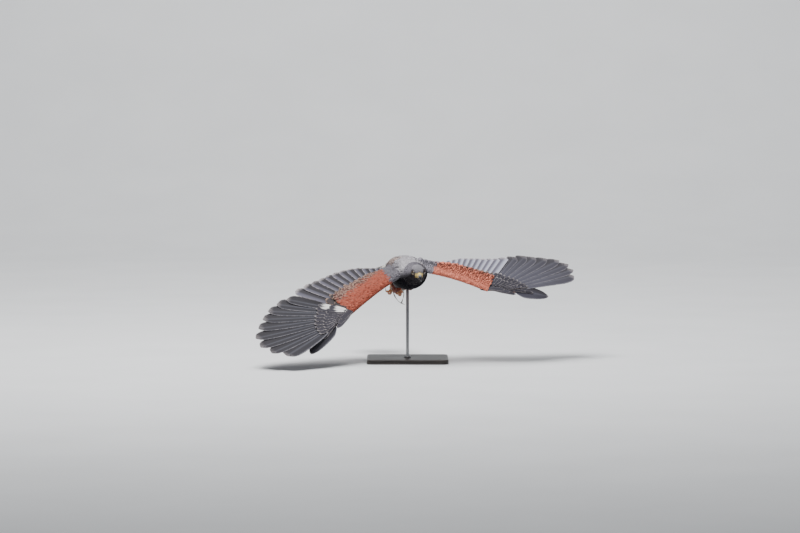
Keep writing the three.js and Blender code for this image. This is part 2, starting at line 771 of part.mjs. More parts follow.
function handCore(plan) {
  const sizeAt = (t) => ({
    front: mix(5, 3 + HAND_CURVE, t * t),
    back: mix(30, 13, t),
    thick: mix(7.5, 3.5, t),
    drop: mix(1, 0.3, t),
    frontRise: 0,
  });
  const start = reach(plan.wrist, [plan.hand.axis, -14]);
  return wingCore(start, plan.hand.axis, HAND_LENGTH + 20, () => plan.hand, sizeAt, 6);
}

// The plane through the wrist that parts arm from hand, pointing outward
function wristPlane(plan) {
  const inmost = plan.feathers[PRIMARY_COUNT - 1].along;
  const seam = inmost.clone().add(plan.feathers[PRIMARY_COUNT].along).normalize();
  const up = plan.arm.up.clone().add(plan.hand.up).normalize();
  const normal = new THREE.Vector3().crossVectors(seam, up).normalize();
  if (normal.dot(plan.out) < 0) normal.negate();
  return { normal, offset: normal.dot(plan.wrist) };
}

function wing(side) {
  const plan = wingPlan(side);
  const { normal, offset } = wristPlane(plan);
  const inward = normal.clone().negate();
  const feathers = plan.feathers.map((_, i) => flightFeather(plan, i));
  const vanes = feathers.map((feather) => blade(feather));
  const coverts = plan.feathers.map((_, i) => blade(covertOver(plan, i)));
  const thumb = alula(plan).map((feather) => blade(feather));
  const handCover = joined([handCore(plan), ...coverts.slice(0, PRIMARY_COUNT), ...thumb]);
  const armCover = joined([armCore(plan), ...coverts.slice(PRIMARY_COUNT)]);
  const handFront = handCover.trimByPlane(normal.toArray(), offset + GAP / 2);
  const armFront = armCover.trimByPlane(inward.toArray(), GAP / 2 - offset);
  const clearing = blade(feathers[PRIMARY_COUNT], GAP);
  const hand = without(handFront.add(joined(vanes.slice(0, PRIMARY_COUNT))), [clearing]);
  const arm = without(armFront.add(joined(vanes.slice(PRIMARY_COUNT))), [torsoForm(GAP)]);
  return [
    piece(`wing_${side}_hand`, geometryOf(hand), COLOURS.plume),
    piece(`wing_${side}_arm`, geometryOf(arm), COLOURS.rufous),
  ];
}

// The tail: a root of flesh and a fan of feathers
function tailPlan() {
  const turn = radians(TAIL_TURN);
  const droop = radians(TAIL_DROOP);
  const back = point([
    -Math.sin(turn) * Math.cos(droop), Math.cos(turn) * Math.cos(droop), -Math.sin(droop),
  ]);
  const side = squared(point([1, 0, 0]), back);
  const up = new THREE.Vector3().crossVectors(side, back);
  return { back, side, up, root: point(TAIL_ROOT) };
}

// The line of a tail feather at a place counted from the middle, or of a covert that lies
// above or below it. Its outer edge is the one that lies over the next feather.
function tailLine(place, { widely = 1, rise = 0, flat = false } = {}) {
  const { back, side, up, root } = tailPlan();
  const last = TAIL_PLACES[TAIL_PLACES.length - 1];
  const step = radians(TAIL_SPREAD / last);
  const along = reach(NOWHERE, [back, Math.cos(step * place)], [side, Math.sin(step * place)]);
  const lead = squared(side, along).multiplyScalar(Math.sign(place));
  const above = up.clone().multiplyScalar(rise < 0 ? -1 : 1);
  const liftAt = liftFrom(0, TAIL_LENGTH / 3, { root: Math.abs(rise) / 2, open: Math.abs(rise) });
  return (distance) => {
    const spacing = (TAIL_QUILL_SPACING + distance * Math.sin(step)) * widely;
    const tilt = flat ? 0 : tiltFor(spacing);
    return {
      middle: reach(
        root, [back, TAIL_QUILLS_BACK], [side, TAIL_QUILL_SPACING * place], [along, distance],
        [up, -TAIL_ARCH * place * place], [above, liftAt(distance)],
      ),
      along,
      across: reach(NOWHERE, [lead, Math.cos(tilt)], [above, Math.sin(tilt)]),
      spacing,
    };
  };
}

function tail() {
  const { back, side, root } = tailPlan();
  const flesh = limb([
    { middle: reach(root, [back, GAP]), side, wide: 16, high: 10.5 },
    { middle: reach(root, [back, 18]), side, wide: 20, high: 8.5 },
    { middle: reach(root, [back, 36]), side, wide: 24, high: 6 },
    { middle: reach(root, [back, 50]), side, wide: 23, high: 2.5 },
  ], 14);
  const forms = [flesh];
  for (const sideways of [1, -1]) {
    for (const place of TAIL_PLACES) {
      const shorter = 1 - TAIL_ROUNDING * (place / TAIL_PLACES[TAIL_PLACES.length - 1]) ** 2;
      const length = (TAIL_LENGTH - TAIL_QUILLS_BACK) * shorter * varied(LENGTH_VARIATION);
      const onTop = sideways > 0 && place === TAIL_PLACES[0];
      const rise = onTop ? TAIL_TOPMOST_RISE : 0;
      const lineAt = tailLine(sideways * place, { rise, flat: onTop });
      const inward = onTop ? TAIL_WIDEST.topmost : Math.min(place - 0.1, TAIL_WIDEST.trailing);
      const limitsAt = (distance) => {
        const { spacing } = lineAt(distance);
        return { leading: TAIL_WIDEST.leading * spacing, trailing: inward * spacing };
      };
      forms.push(blade({ lineAt, stations: flightStations(TAIL_OUTLINE, length, limitsAt) }));
    }
    for (const [where, row] of Object.entries(TAIL_COVERTS)) {
      const widely = row.places[1] - row.places[0];
      for (const place of row.places) {
        const rise = where === "above" ? row.rise : -row.rise;
        const lineAt = tailLine(sideways * place, { widely, rise });
        const end = row.length * varied(2 * LENGTH_VARIATION);
        const stations = covertStations(COVERT_OUTLINE, 2, end, (at) => lineAt(at).spacing);
        const inward = place === row.places[0] ? INMOST_COVERT_INWARD : 1;
        const fitted = stations.map((one) => ({ ...one, trailing: one.trailing * inward }));
        forms.push(blade({ lineAt, stations: fitted }));
      }
    }
  }
  return piece("tail", geometryOf(without(joined(forms), [torsoForm(GAP)])), COLOURS.plume);
}

// Head, eyes and bill in the head's own frame: x to its left, y back, z up
function eyePlace(side) {
  return [EYE_PLACE[0] * side, EYE_PLACE[1], EYE_PLACE[2]];
}

function eyeBall(side, grow) {
  const radius = EYE_RADIUS + grow;
  return ball(eyePlace(side), [radius, radius, radius], 12, 9).applyMatrix4(headFrame);
}

function billStations(grow) {
  const side = point([1, 0, 0]);
  const table = [
    [[0, -29.7, -0.5], 8.6, 7.3],
    [[0, -33.5, -0.6], 8.2, 7.6],
    [[0, -38.3, -1.6], 7.3, 7.2],
    [[0, -39.5, -2], 6.4, 6.3],
    [[0, -43.5, -3.2], 5.3, 5.9],
    [[0, -49, -6.6], 3.8, 4.6],
    [[0, -52.5, -11.5], 2.4, 2.8],
    [[0, -53, -16.5], 0.6, 0.7],
  ];
  return table.map(([middle, wide, high]) => ({
    middle: point(middle), side, wide: wide + grow, high: high + grow,
  }));
}

function lowerBill(grow) {
  const side = point([1, 0, 0]);
  const table = [
    [[0, -29.7, -9.8], 7.6, 2.4],
    [[0, -38, -10.2], 5.6, 2.2],
    [[0, -45, -10.6], 3, 1.2],
  ];
  const stations = table.map(([middle, wide, high]) => ({
    middle: point(middle), side, wide: wide + grow, high: high + grow,
  }));
  return limb(stations, 12).applyMatrix4(headFrame);
}

// A point on the skull at a place along it and a height, pushed out by a little
function skullPoint(side, y, z, out = 0) {
  const [, top, bottom, halfWidth] = between(HEAD_STATIONS, y);
  const level = (2 * z - top - bottom) / (top - bottom);
  return point([side * (halfWidth * Math.sqrt(Math.max(1 - level * level, 0)) + out), y, z]);
}

// A round run along the skull through rows of place along it, height and radius
function skullRun(side, rows, out, scale = 1) {
  const up = point([0, 0, 1]);
  const stations = rows.map(([y, z, radius]) => ({
    middle: skullPoint(side, y, z, out), side: up, wide: radius * scale, high: radius * scale,
  }));
  return limb(stations, 6).applyMatrix4(headFrame);
}

// The rim of the lids: a ring on the eyeball, across the way that the eye looks
function lidRim(side) {
  const gaze = point([side * EYE_GAZE[0], EYE_GAZE[1], EYE_GAZE[2]]).normalize();
  const rim = new THREE.TorusGeometry(LID_RADIUS, LID_THICKNESS, ...LID_SIDES);
  rim.applyQuaternion(new THREE.Quaternion().setFromUnitVectors(UP, gaze));
  const middle = reach(point(eyePlace(side)), [gaze, LID_OUT]);
  return rim.translate(middle.x, middle.y, middle.z).applyMatrix4(headFrame);
}

function head() {
  const upper = limb(billStations(0), 14).applyMatrix4(headFrame);
  const upperClear = limb(billStations(GAP), 14).applyMatrix4(headFrame);
  const lower = without(solidOf(lowerBill(0)), [upperClear]);
  const grown = skullForm(GAP);
  const forms = [skullForm(0)];
  const cutters = [];
  const nostrils = [];
  for (const side of [1, -1]) {
    forms.push(skullRun(side, BROW_LINE, 0.4), lidRim(side), skullRun(side, GAPE_LINE, -0.3, LIP));
    cutters.push(eyeBall(side, GAP), skullRun(side, GAPE_LINE, 0.7));
    const [x, y, z] = NOSTRIL_PLACE;
    nostrils.push(ball([side * x, y, z], NOSTRIL, 8, 6).applyMatrix4(headFrame));
  }
  const skull = without(joined(forms), cutters);
  return [
    piece("head", geometryOf(skull), COLOURS.dark),
    piece("bill_upper", geometryOf(without(solidOf(upper), [grown, ...nostrils])), COLOURS.horn),
    piece("bill_lower", geometryOf(without(lower, [grown])), COLOURS.horn),
    piece("eye_left", eyeBall(1, 0), COLOURS.eye),
    piece("eye_right", eyeBall(-1, 0), COLOURS.eye),
  ];
}

function neck() {
  const side = point([1, 0, 0]);
  const middle = point(HEAD_MIDDLE);
  const solid = limb([
    { middle: point([0, TORSO_FRONT - GAP, 9]), side, wide: 38, high: 34 },
    { middle: point([-2, -112, 12]), side, wide: 33, high: 31 },
    { middle: point([-5, -128, 16]), side, wide: 27, high: 26 },
    { middle: middle.clone(), side, wide: 20, high: 19 },
  ], 16);
  const torsoClear = solidOf(solid).trimByPlane([0, -1, 0], GAP - TORSO_FRONT);
  return piece("neck", geometryOf(without(torsoClear, [skullForm(GAP)])), COLOURS.dark);
}

// Legs
function shankForm(leg, grow) {
  const side = point([1, 0, 0]);
  const wide = SHANK_RADIUS;
  const hock = point(leg.hock);
  const ankle = point(leg.ankle);
  return limb([
    { middle: hock, side, wide: wide + 1, high: wide + 1.6 },
    { middle: hock.clone().lerp(ankle, 0.3), side, wide, high: wide },
    { middle: hock.clone().lerp(ankle, 0.8), side, wide, high: wide },
    { middle: ankle, side, wide: wide + 0.8, high: wide + 0.8 },
  ], 12, grow);
}

function thighForm(leg) {
  const side = point([1, 0, 0]);
  const hip = point(leg.hip);
  const hock = point(leg.hock);
  const end = hock.clone().addScaledVector(hock.clone().sub(hip).normalize(), 10);
  return limb([
    { middle: hip.clone().lerp(hock, -0.5), side, wide: 10, high: 14 },
    { middle: hip, side, wide: 17, high: 22 },
    { middle: hip.clone().lerp(hock, 0.6), side, wide: 14, high: 17 },
    { middle: end, side, wide: 7, high: 8 },
  ], 16);
}

// A curved, tapering run from a base: the direction turns from the first angle to the last
function curledRun(base, ahead, curlTo, side, run) {
  const stations = [];
  let middle = base.clone();
  for (let i = 0; i <= run.steps; i += 1) {
    const t = i / run.steps;
    const radius = mix(run.wide, run.narrow, t ** (run.taper ?? 1));
    stations.push({ middle: middle.clone(), side, wide: radius, high: radius });
    const angle = radians(mix(run.from, run.to, t + 0.5 / run.steps));
    const stride = run.length / run.steps;
    middle = reach(middle, [ahead, stride * Math.cos(angle)], [curlTo, stride * Math.sin(angle)]);
  }
  return stations;
}

const TOES = [
  { name: "inner", turn: -26, length: 29, claw: 22, from: 0, to: 80, wide: 4.2 },
  { name: "middle", turn: 0, length: 40, claw: 19, from: -5, to: 75, wide: 4.4 },
  { name: "outer", turn: 26, length: 31, claw: 17, from: 0, to: 85, wide: 3.8 },
  { name: "hind", turn: 180, length: 20, claw: 24, from: 30, to: 85, wide: 4.4 },
];

function foot(side) {
  const leg = LEGS[side];
  const ankle = point(leg.ankle);
  const sideways = side === "left" ? 1 : -1;
  const shankWay = ankle.clone().sub(point(leg.hock)).normalize();
  const ahead = point([0.08 * sideways, 0.35, -0.93]).normalize();
  const sole = squared(point([0, 0.93, 0.35]), ahead);
  const across = new THREE.Vector3().crossVectors(ahead, sole);
  const base = reach(ankle, [shankWay, 3]);
  const forms = [ball(base.toArray(), [7.5, 7.5, 6.5], 10, 7)];
  const claws = [];
  for (const toe of TOES) {
    const turn = radians(toe.turn) * sideways;
    const way = reach(NOWHERE, [ahead, Math.cos(turn)], [across, Math.sin(turn)]);
    const flank = new THREE.Vector3().crossVectors(way, sole);
    const start = reach(base, [way, 2]);
    const narrow = toe.wide - 1;
    const run = { length: toe.length, from: toe.from, to: toe.to, wide: toe.wide, narrow, steps: 4 };
    const stations = curledRun(start, way, sole, flank, run);
    forms.push(limb(stations, 8));
    const end = stations[stations.length - 1].middle;
    const clawRun = {
      length: toe.claw, from: toe.to - 5, to: toe.to + 80, wide: narrow - 0.7, narrow: 0.35,
      steps: 5, taper: 0.8,
    };
    claws.push({ name: toe.name, stations: curledRun(end, way, sole, flank, clawRun) });
  }
  const cutters = claws.map((claw) => limb(claw.stations, 6, GAP));
  const solid = without(joined(forms), [shankForm(leg, GAP), ...cutters]);
  return [
    piece(`foot_${side}`, geometryOf(solid), COLOURS.yellow),
    ...claws.map((claw) => piece(`claw_${side}_${claw.name}`, limb(claw.stations, 6), COLOURS.horn)),
  ];
}

function leg(side) {
  const plan = LEGS[side];
  const shank = piece(`shank_${side}`, shankForm(plan, 0), COLOURS.yellow);
  const thigh = without(solidOf(thighForm(plan)), [torsoForm(GAP), shankForm(plan, GAP)]);
  return [piece(`thigh_${side}`, geometryOf(thigh), COLOURS.rufous), shank, ...foot(side)];
}

// A leather band round the shank, from its upper to its lower edge
function ankletForm(leg, thickness) {
  const hock = point(leg.hock);
  const ankle = point(leg.ankle);
  const side = point([1, 0, 0]);
  const radius = SHANK_RADIUS + GAP + thickness;
  return limb([ANKLET_TOP, ANKLET_FOOT].map((share) => ({
    middle: hock.clone().lerp(ankle, share), side, wide: radius, high: radius,
  })), 16);
}

function strap(side) {
  const across = point([0.3, 1, 0]).normalize();
  const stations = JESS_LINES[side].map((place, i, line) => {
    const narrowing = i === line.length - 1 ? 0.5 : 1;
    return {
      middle: point(place), side: across,
      wide: (JESS_WIDTH / Math.SQRT2) * narrowing, high: JESS_THICKNESS / Math.SQRT2,
    };
  });
  return limb(stations, 4);
}

function furniture(side) {
  const leg = LEGS[side];
  const band = without(solidOf(ankletForm(leg, BAND_THICKNESS)), [shankForm(leg, GAP)]);
  const clear = without(solidOf(strap(side)), [ankletForm(leg, BAND_THICKNESS + GAP)]);
  return [
    piece(`anklet_${side}`, geometryOf(band), COLOURS.leather),
    piece(`jess_${side}`, geometryOf(clear), COLOURS.leather),
  ];
}

// The stand: a flat base and a rod that goes up into the breast
function rodForm(grow) {
  const height = ROD_TOP - ROD_FOOT + 2 * grow;
  const form = new THREE.CylinderGeometry(ROD_RADIUS + grow, ROD_RADIUS + grow, height, 24);
  form.rotateX(Math.PI / 2);
  return form.translate(0, 0, (ROD_TOP + ROD_FOOT) / 2);
}

function stand() {
  const x = BASE_LENGTH / 2 - BASE_CORNER;
  const y = BASE_WIDTH / 2 - BASE_CORNER;
  const outline = new THREE.Shape();
  outline.absarc(x, y, BASE_CORNER, 0, Math.PI / 2);
  outline.absarc(-x, y, BASE_CORNER, Math.PI / 2, Math.PI);
  outline.absarc(-x, -y, BASE_CORNER, Math.PI, Math.PI * 1.5);
  outline.absarc(x, -y, BASE_CORNER, Math.PI * 1.5, Math.PI * 2);
  outline.closePath();
  const settings = { depth: BASE_HEIGHT, bevelEnabled: false, curveSegments: 6 };
  const plate = new THREE.ExtrudeGeometry(outline, settings);
  return [
    piece("stand_base", geometryOf(without(solidOf(plate), [rodForm(GAP)])), COLOURS.stand),
    piece("stand_rod", rodForm(0), COLOURS.stand),
  ];
}

function torso() {
  const rod = rodForm(GAP).applyMatrix4(bird.matrixWorld.clone().invert());
  return piece("torso", geometryOf(without(solidOf(torsoForm(0)), [rod])), COLOURS.dark);
}

bird.add(torso(), neck(), ...head(), tail());
for (const side of ["right", "left"]) {
  bird.add(...wing(side), ...leg(side), ...furniture(side));
}

const hawk = new THREE.Group();
hawk.add(bird, ...stand());

export default hawk;
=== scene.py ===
# %% [markdown]
# # A harris hawk in flight, over a plain stand
# The solids of the model are already made and packed. This lesson gives them their looks:
# feathers in rows, bare skin, horn, eyes and leather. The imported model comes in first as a
# fixed frame, so each new piece can be worked out in the same places and needs no fitting.

# %% Load the frame
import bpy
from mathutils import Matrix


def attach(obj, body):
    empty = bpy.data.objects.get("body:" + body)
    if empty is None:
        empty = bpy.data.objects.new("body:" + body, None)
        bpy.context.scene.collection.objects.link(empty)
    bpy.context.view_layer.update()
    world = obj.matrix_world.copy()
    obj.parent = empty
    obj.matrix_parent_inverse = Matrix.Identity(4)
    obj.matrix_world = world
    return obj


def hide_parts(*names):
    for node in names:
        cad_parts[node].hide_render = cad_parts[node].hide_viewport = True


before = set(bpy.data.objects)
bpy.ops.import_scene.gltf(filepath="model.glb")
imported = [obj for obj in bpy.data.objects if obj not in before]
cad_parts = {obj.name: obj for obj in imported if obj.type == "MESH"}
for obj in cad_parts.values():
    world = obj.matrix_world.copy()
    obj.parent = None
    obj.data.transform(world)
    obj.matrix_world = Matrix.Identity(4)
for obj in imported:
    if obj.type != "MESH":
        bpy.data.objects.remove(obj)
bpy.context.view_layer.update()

from types import SimpleNamespace

import bmesh
import bpy
import numpy as np
from mathutils import Vector

MM = 0.001
SIGN = {"right": -1, "left": 1}
chance = np.random.default_rng(41)

# %% [markdown]
# ## Directions and smooth tables
# A bird is drawn most easily in its own frame: x to its left, y toward its tail, z up. The
# body is then turned and lifted as one. Sizes are in millimetres, as in the solids. Shapes
# that swell and taper are tables of a few rows, and a smooth curve runs between the rows.
# A spline object could do that too, but plain formulas on whole arrays are quick and exact.

# %% Directions
SIDE, FORWARD, UP = np.array([[1.0, 0, 0], [0, -1, 0], [0, 0, 1]])


def unit(v):
    """Each vector divided by its own length."""
    return v / np.maximum(np.linalg.norm(v, axis=-1, keepdims=True), 1e-9)


def squared(v, other):
    """The share of v along the unit vector other is taken out, and the rest made unit."""
    return unit(v - (v * other).sum(-1, keepdims=True) * other)


def swing(a, b, angle):
    """The first direction swung toward the second: a cosine of one, a sine of the other."""
    return a * np.cos(angle) + b * np.sin(angle)


def oval(a, b, angle, wide=1.0, high=1.0):
    """As swing, for whole arrays of angles, with a size for each of the two directions."""
    return a * (wide * np.cos(angle))[..., None] + b * (high * np.sin(angle))[..., None]


print("a quarter swing from the side to the front:", swing(SIDE, FORWARD, np.pi / 2).round(3))


# %% Smooth runs
def mix(a, b, t):
    """a at t = 0, b at t = 1, and a straight run between."""
    return a + (b - a) * t


def ease(t):
    """Zero below 0, one above 1, and 3t² − 2t³ between."""
    t = np.clip(t, 0, 1)
    return t * t * (3 - 2 * t)


def between(table, at):
    """Rows of a table at places along its first column. Between two rows each value is a
    cubic that meets them with the slope of the rows on either side."""
    rows = np.asarray(table, float)
    rows = rows[np.argsort(rows[:, 0])]
    ahead = np.vstack([rows[1:], rows[-1:]])
    behind = np.vstack([rows[:1], rows[:-1]])
    slope = (ahead - behind) / (ahead[:, :1] - behind[:, :1])
    at = np.asarray(at, float)
    i = np.clip(np.searchsorted(rows[:, 0], at) - 1, 0, len(rows) - 2)
    step = (rows[i + 1, 0] - rows[i, 0])[..., None]
    t = np.clip((at - rows[i, 0])[..., None] / step, 0, 1)
    return (
        (2 * t**3 - 3 * t**2 + 1) * rows[i] + (t**3 - 2 * t**2 + t) * slope[i] * step
        + (3 * t**2 - 2 * t**3) * rows[i + 1] + (t**3 - t**2) * slope[i + 1] * step
    )


print("halfway between two rows:", between([[0, 0], [1, 2], [2, 6]], 0.5).round(3))


# %% The bird's frame, the head's and the room's
def turned(yaw, pitch, bank):
    """A bank about y, then a pitch about x, then a yaw about z, in degrees, as one matrix."""
    z, x, y = np.radians([yaw, pitch, -bank])
    about_z = np.array([[np.cos(z), -np.sin(z), 0], [np.sin(z), np.cos(z), 0], [0, 0, 1]])
    about_x = np.array([[1, 0, 0], [0, np.cos(x), -np.sin(x)], [0, np.sin(x), np.cos(x)]])
    about_y = np.array([[np.cos(y), 0, np.sin(y)], [0, 1, 0], [-np.sin(y), 0, np.cos(y)]])
    return about_z @ about_x @ about_y


BODY_PLACE, BODY_TURN = np.array([-8.0, 18.0, 286.0]), turned(20, 3, 12)
HEAD_MIDDLE, HEAD_TURN = np.array([-8.0, -150.0, 21.0]), turned(11, 15, 3)


def in_room(points):
    """Points of the bird's frame turned and lifted to their place in the room."""
    return points @ BODY_TURN.T + BODY_PLACE


def in_bird(points):
    """Points of the room, given in the bird's frame."""
    return (points - BODY_PLACE) @ BODY_TURN


def head_in_bird(points):
    """Points of the head's own frame, given in the bird's frame."""
    return points @ HEAD_TURN.T @ BODY_TURN + HEAD_MIDDLE


def in_head(points):
    """Points of the bird's frame, given in the head's own frame."""
    return (points - HEAD_MIDDLE) @ BODY_TURN.T @ HEAD_TURN


print("head in the room, mm:", in_room(HEAD_MIDDLE).round(1))

# %% [markdown]
# ## From arrays to meshes
# Every surface below is an array of points. These cells turn such arrays into Blender meshes
# with foreach_set, which copies a whole array at once. Feathers carry a few values on their
# points: how far across and along the feather a point lies, and the feather's own colours.
# Each coat piece also gets the map OFBake, in which every feather has its own small patch.

# %% Meshes from arrays
VALUE_KINDS = {3: ("FLOAT_VECTOR", "vector"), 4: ("FLOAT_COLOR", "color")}


def opaque(colour):
    """A fourth number of one after each colour."""
    return np.concatenate([colour, np.ones_like(colour[..., :1])], -1)


def set_values(mesh, values):
    """Arrays with a row for each point, as attributes that materials can read."""
    for key, array in values.items():
        kind, field = VALUE_KINDS[array.shape[-1]]
        layer = mesh.attributes.new(key, kind, "POINT")
        layer.data.foreach_set(field, array.astype(np.float32).ravel())


def new_mesh(name, points, quads, values=None, bake=None):
    """A mesh of four-sided faces from arrays, points in millimetres of the bird's frame."""
    mesh = bpy.data.meshes.new(name)
    places = (in_room(points) * MM).astype(np.float32)
    mesh.vertices.add(places.size // 3)
    mesh.vertices.foreach_set("co", places.ravel())
    mesh.loops.add(quads.size)
    mesh.loops.foreach_set("vertex_index", quads.astype(np.int32).ravel())
    mesh.polygons.add(len(quads))
    mesh.polygons.foreach_set("loop_start", np.arange(0, quads.size, 4, dtype=np.int32))
    set_values(mesh, values or {})
    if bake is not None:
        layer = mesh.uv_layers.new(name="OFBake")
        layer.data.foreach_set("uv", bake.astype(np.float32).ravel())
    mesh.update(calc_edges=True)
    mesh.shade_smooth()
    return mesh


def facing_out(mesh):
    """Turns a closed mesh's faces outward."""
    work = bmesh.new()
    work.from_mesh(mesh)
    bmesh.ops.recalc_face_normals(work, faces=work.faces)
    work.to_mesh(mesh)
    work.free()
    return mesh


def points_of(mesh):
    """The mesh's points as an array, in metres of the room."""
    flat = np.empty(len(mesh.vertices) * 3, np.float32)
    mesh.vertices.foreach_get("co", flat)
    return flat.reshape(-1, 3)


print("kinds of values on points:", [kind for kind, _ in VALUE_KINDS.values()])


# %% Forms made of rings
def ring_quads(rows, count):
    """Faces of a tube of rings, each ring closed on itself."""
    r, k = np.meshgrid(np.arange(rows - 1), np.arange(count), indexing="ij")
    a, b = r * count + k, r * count + (k + 1) % count
    return np.stack([a, b, b + count, a + count], -1).reshape(-1, 4)


def closed_quads(rows, count):
    """The tube's faces, with a fan of four-sided faces over the ring at each end."""
    half = np.arange(count // 2 - 1)
    cap = np.stack([half, half + 1, count - 2 - half, count - 1 - half], -1)
    return np.vstack([ring_quads(rows, count), cap[:, ::-1], cap + (rows - 1) * count])


def shell(name, rings, tint=None, hoop=False):
    """A closed form through rings, or a hoop whose last ring meets the first. Its faces are
    turned outward, and its points carry the tint."""
    rows, count = rings.shape[:2]
    quads = ring_quads(rows + 1, count) % (rows * count) if hoop else closed_quads(rows, count)
    values = {} if tint is None else {"tint": opaque(np.broadcast_to(tint, rings.shape))}
    return facing_out(new_mesh(name, rings, quads, values))


def new_piece(mesh, material, replaced=()):
    """An object at the origin that shows the mesh and rides with the body."""
    obj = bpy.data.objects.new(mesh.name, mesh)
    bpy.context.scene.collection.objects.link(obj)
    mesh.materials.append(material)
    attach(obj, "root")
    if replaced:
        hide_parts(*replaced)
    return obj


def grid(p_range, rows, around):
    """Places in rings: a run of the first number, and the whole circle of the second."""
    turn = np.arange(around) * 2 * np.pi / around
    return np.meshgrid(np.linspace(*p_range, rows), turn, indexing="ij")


print("faces of a closed tube of 3 rings of 8 points:", len(closed_quads(3, 8)))

# %% [markdown]
# ## The body's surfaces
# A hawk's trunk is an egg that tapers to the tail, its neck hardly shows, and its skull is a
# short wedge with a flat crown. Each is a surface of two numbers, a place along it and an
# angle round it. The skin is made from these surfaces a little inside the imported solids, and
# the feathers are rooted on the same surfaces, so skin and coat always agree.

# %% Tables of trunk, skull, neck and legs
TORSO = [  # place, top, bottom, half width
    [-100, 43, -25, 38], [-85, 44, -40, 46], [-55, 50, -51, 56], [-20, 54, -53, 57],
    [20, 53, -50, 53], [60, 44, -42, 45], [100, 30, -20, 30], [122, 19, -3, 16],
]
SKULL = [
    [-30, 8.5, -12.5, 10], [-22, 14.5, -15, 15], [-12, 20, -18, 20.5], [0, 22, -20, 22.5],
    [12, 21, -19, 21], [24, 16, -15, 16], [30, 9, -9, 9],
]
NECK = [  # share of the run, middle, half width, half height
    [0, 0, -84, 8, 40, 37], [0.3, 0, -100, 9, 38, 34], [0.5, -2, -112, 12, 33, 31],
    [0.75, -5, -128, 16, 27, 26], [1, -8, -150, 21, 20, 19],
]
LEGS = {
    "right": {"hip": [-30, 12, -34], "hock": [-26, 52, -60], "ankle": [-12, 128, -66]},
    "left": {"hip": [30, 12, -34], "hock": [27, 50, -62], "ankle": [16, 124, -78]},
}
THIGH_SIZES = [(10, 14), (17, 22), (14, 17), (7, 8)]
BODY_COAT, NECK_COAT, HEAD_COAT, THIGH_COAT = 5.0, 4.0, 2.2, 3
print("trunk half widths:", [row[3] for row in TORSO])


# %% Surfaces through the tables
def egg(table, grow=0.0):
    """Across: half width times the cosine of the angle. Up: the middle of top and bottom
    plus half their distance times the sine."""
    def surface(along, angle):
        row = between(table, along)
        top, bottom, half = row[..., 1], row[..., 2], row[..., 3]
        x = (half + grow) * np.cos(angle)
        z = (top + bottom) / 2 + ((top - bottom) / 2 + grow) * np.sin(angle)
        return np.stack([x, along + 0 * angle, z], -1)
    return surface


def limb(rows, grow=0.0):
    """Ovals carried along a curved line. Rows give the share of the run, the middle of the
    oval, its half width and its half height."""
    def surface(share, angle):
        row = between(rows, share)
        run = between(rows, share + 0.01) - between(rows, share - 0.01)
        axis = unit(run[..., 1:4])
        across = squared(SIDE + 0 * axis, axis)
        wide, high = row[..., 4] + grow, row[..., 5] + grow
        return row[..., 1:4] + oval(across, np.cross(axis, across), angle, wide, high)
    return surface


def leg_joint(side, joint):
    """Where a joint of one leg lies, in the bird's frame."""
    return np.array(LEGS[side][joint], float)


def thigh_rows(side):
    """Thigh ovals from inside the trunk, past the hip, down to the hock."""
    hip, hock = leg_joint(side, "hip"), leg_joint(side, "hock")
    end = hock + unit(hock - hip) * 10
    places = [mix(hip, hock, -0.5), hip, mix(hip, hock, 0.6), end]
    return [[i / 3, *p, *s] for i, (p, s) in enumerate(zip(places, THIGH_SIZES))]


print("thigh, mm:", {side: len(thigh_rows(side)) for side in LEGS}, "ovals each")

# %% [markdown]
# ## The lines of the wing feathers
# A hawk's wing is an arm, a hand and a fan of long feathers. Ten primaries grow from the
# hand and spread from its tip to the wrist. Thirteen secondaries grow from the arm. Each is
# a line with a root, a direction and a slight bend. A vane then hangs on each line, tilted
# so that its leading edge lies on top of the neighbour. The angles follow the photo.

# %% Sizes and angles of the wings
SHOULDER = np.array([46.0, -56.0, 12.0])
ARM_LENGTH = {"right": 184, "left": 206}
ARM_CORE = (-0.12, 1.08)
ARM_INNER_TWIST = 12
ARM_FRONT_RISE = 11
HAND_LENGTH = 78
HAND_CORE = (-14, 84)
HAND_CURVE = 10
WING = {
    "right": SimpleNamespace(
        sweep=-8, droop=28, twist=47, inner_twist=9.6, hand_sweep=25.3, hand_droop=9.6,
        hand_twist=19.4, outer_spread=-14, inner_spread=60, inner_rise=6, secondary_spread=62,
    ),
    "left": SimpleNamespace(
        sweep=29.2, droop=28.4, twist=17.2, inner_twist=0, hand_sweep=2.7, hand_droop=15,
        hand_twist=25.3, outer_spread=11.9, inner_spread=56, inner_rise=0, secondary_spread=83,
    ),
}
PRIMARY_LENGTHS = [210, 234, 254, 269, 287, 305, 309, 298, 268, 186]
PRIMARY_ROOTS = (0.06, 0.96)
PRIMARY_BEND = 0.035
OUTERMOST = {
    "right": SimpleNamespace(length=180, spread=-14, bend=-0.1, twist=20),
    "left": SimpleNamespace(length=143, spread=-4, bend=-0.1, twist=28),
}
PRIMARIES, SECONDARIES = len(PRIMARY_LENGTHS), 13
SECONDARY_LENGTH = 190
INNERMOST_SPREAD = 98
INNERMOST_BACK, INNERMOST_SHORTER = 30, 30
OUTERMOST_LONGER, TERTIAL_SHORTER = 22, 45
ARM_ROOTS, TERTIAL_BEND = (0.05, 0.66), (0.02, -0.14)
LAST_PLACE, EVEN_UNTIL, TERTIALS_FROM = 1.2, 0.8, 0.65
SECONDARY_SUNK = 15
print("primaries and secondaries on each wing:", PRIMARIES, SECONDARIES)


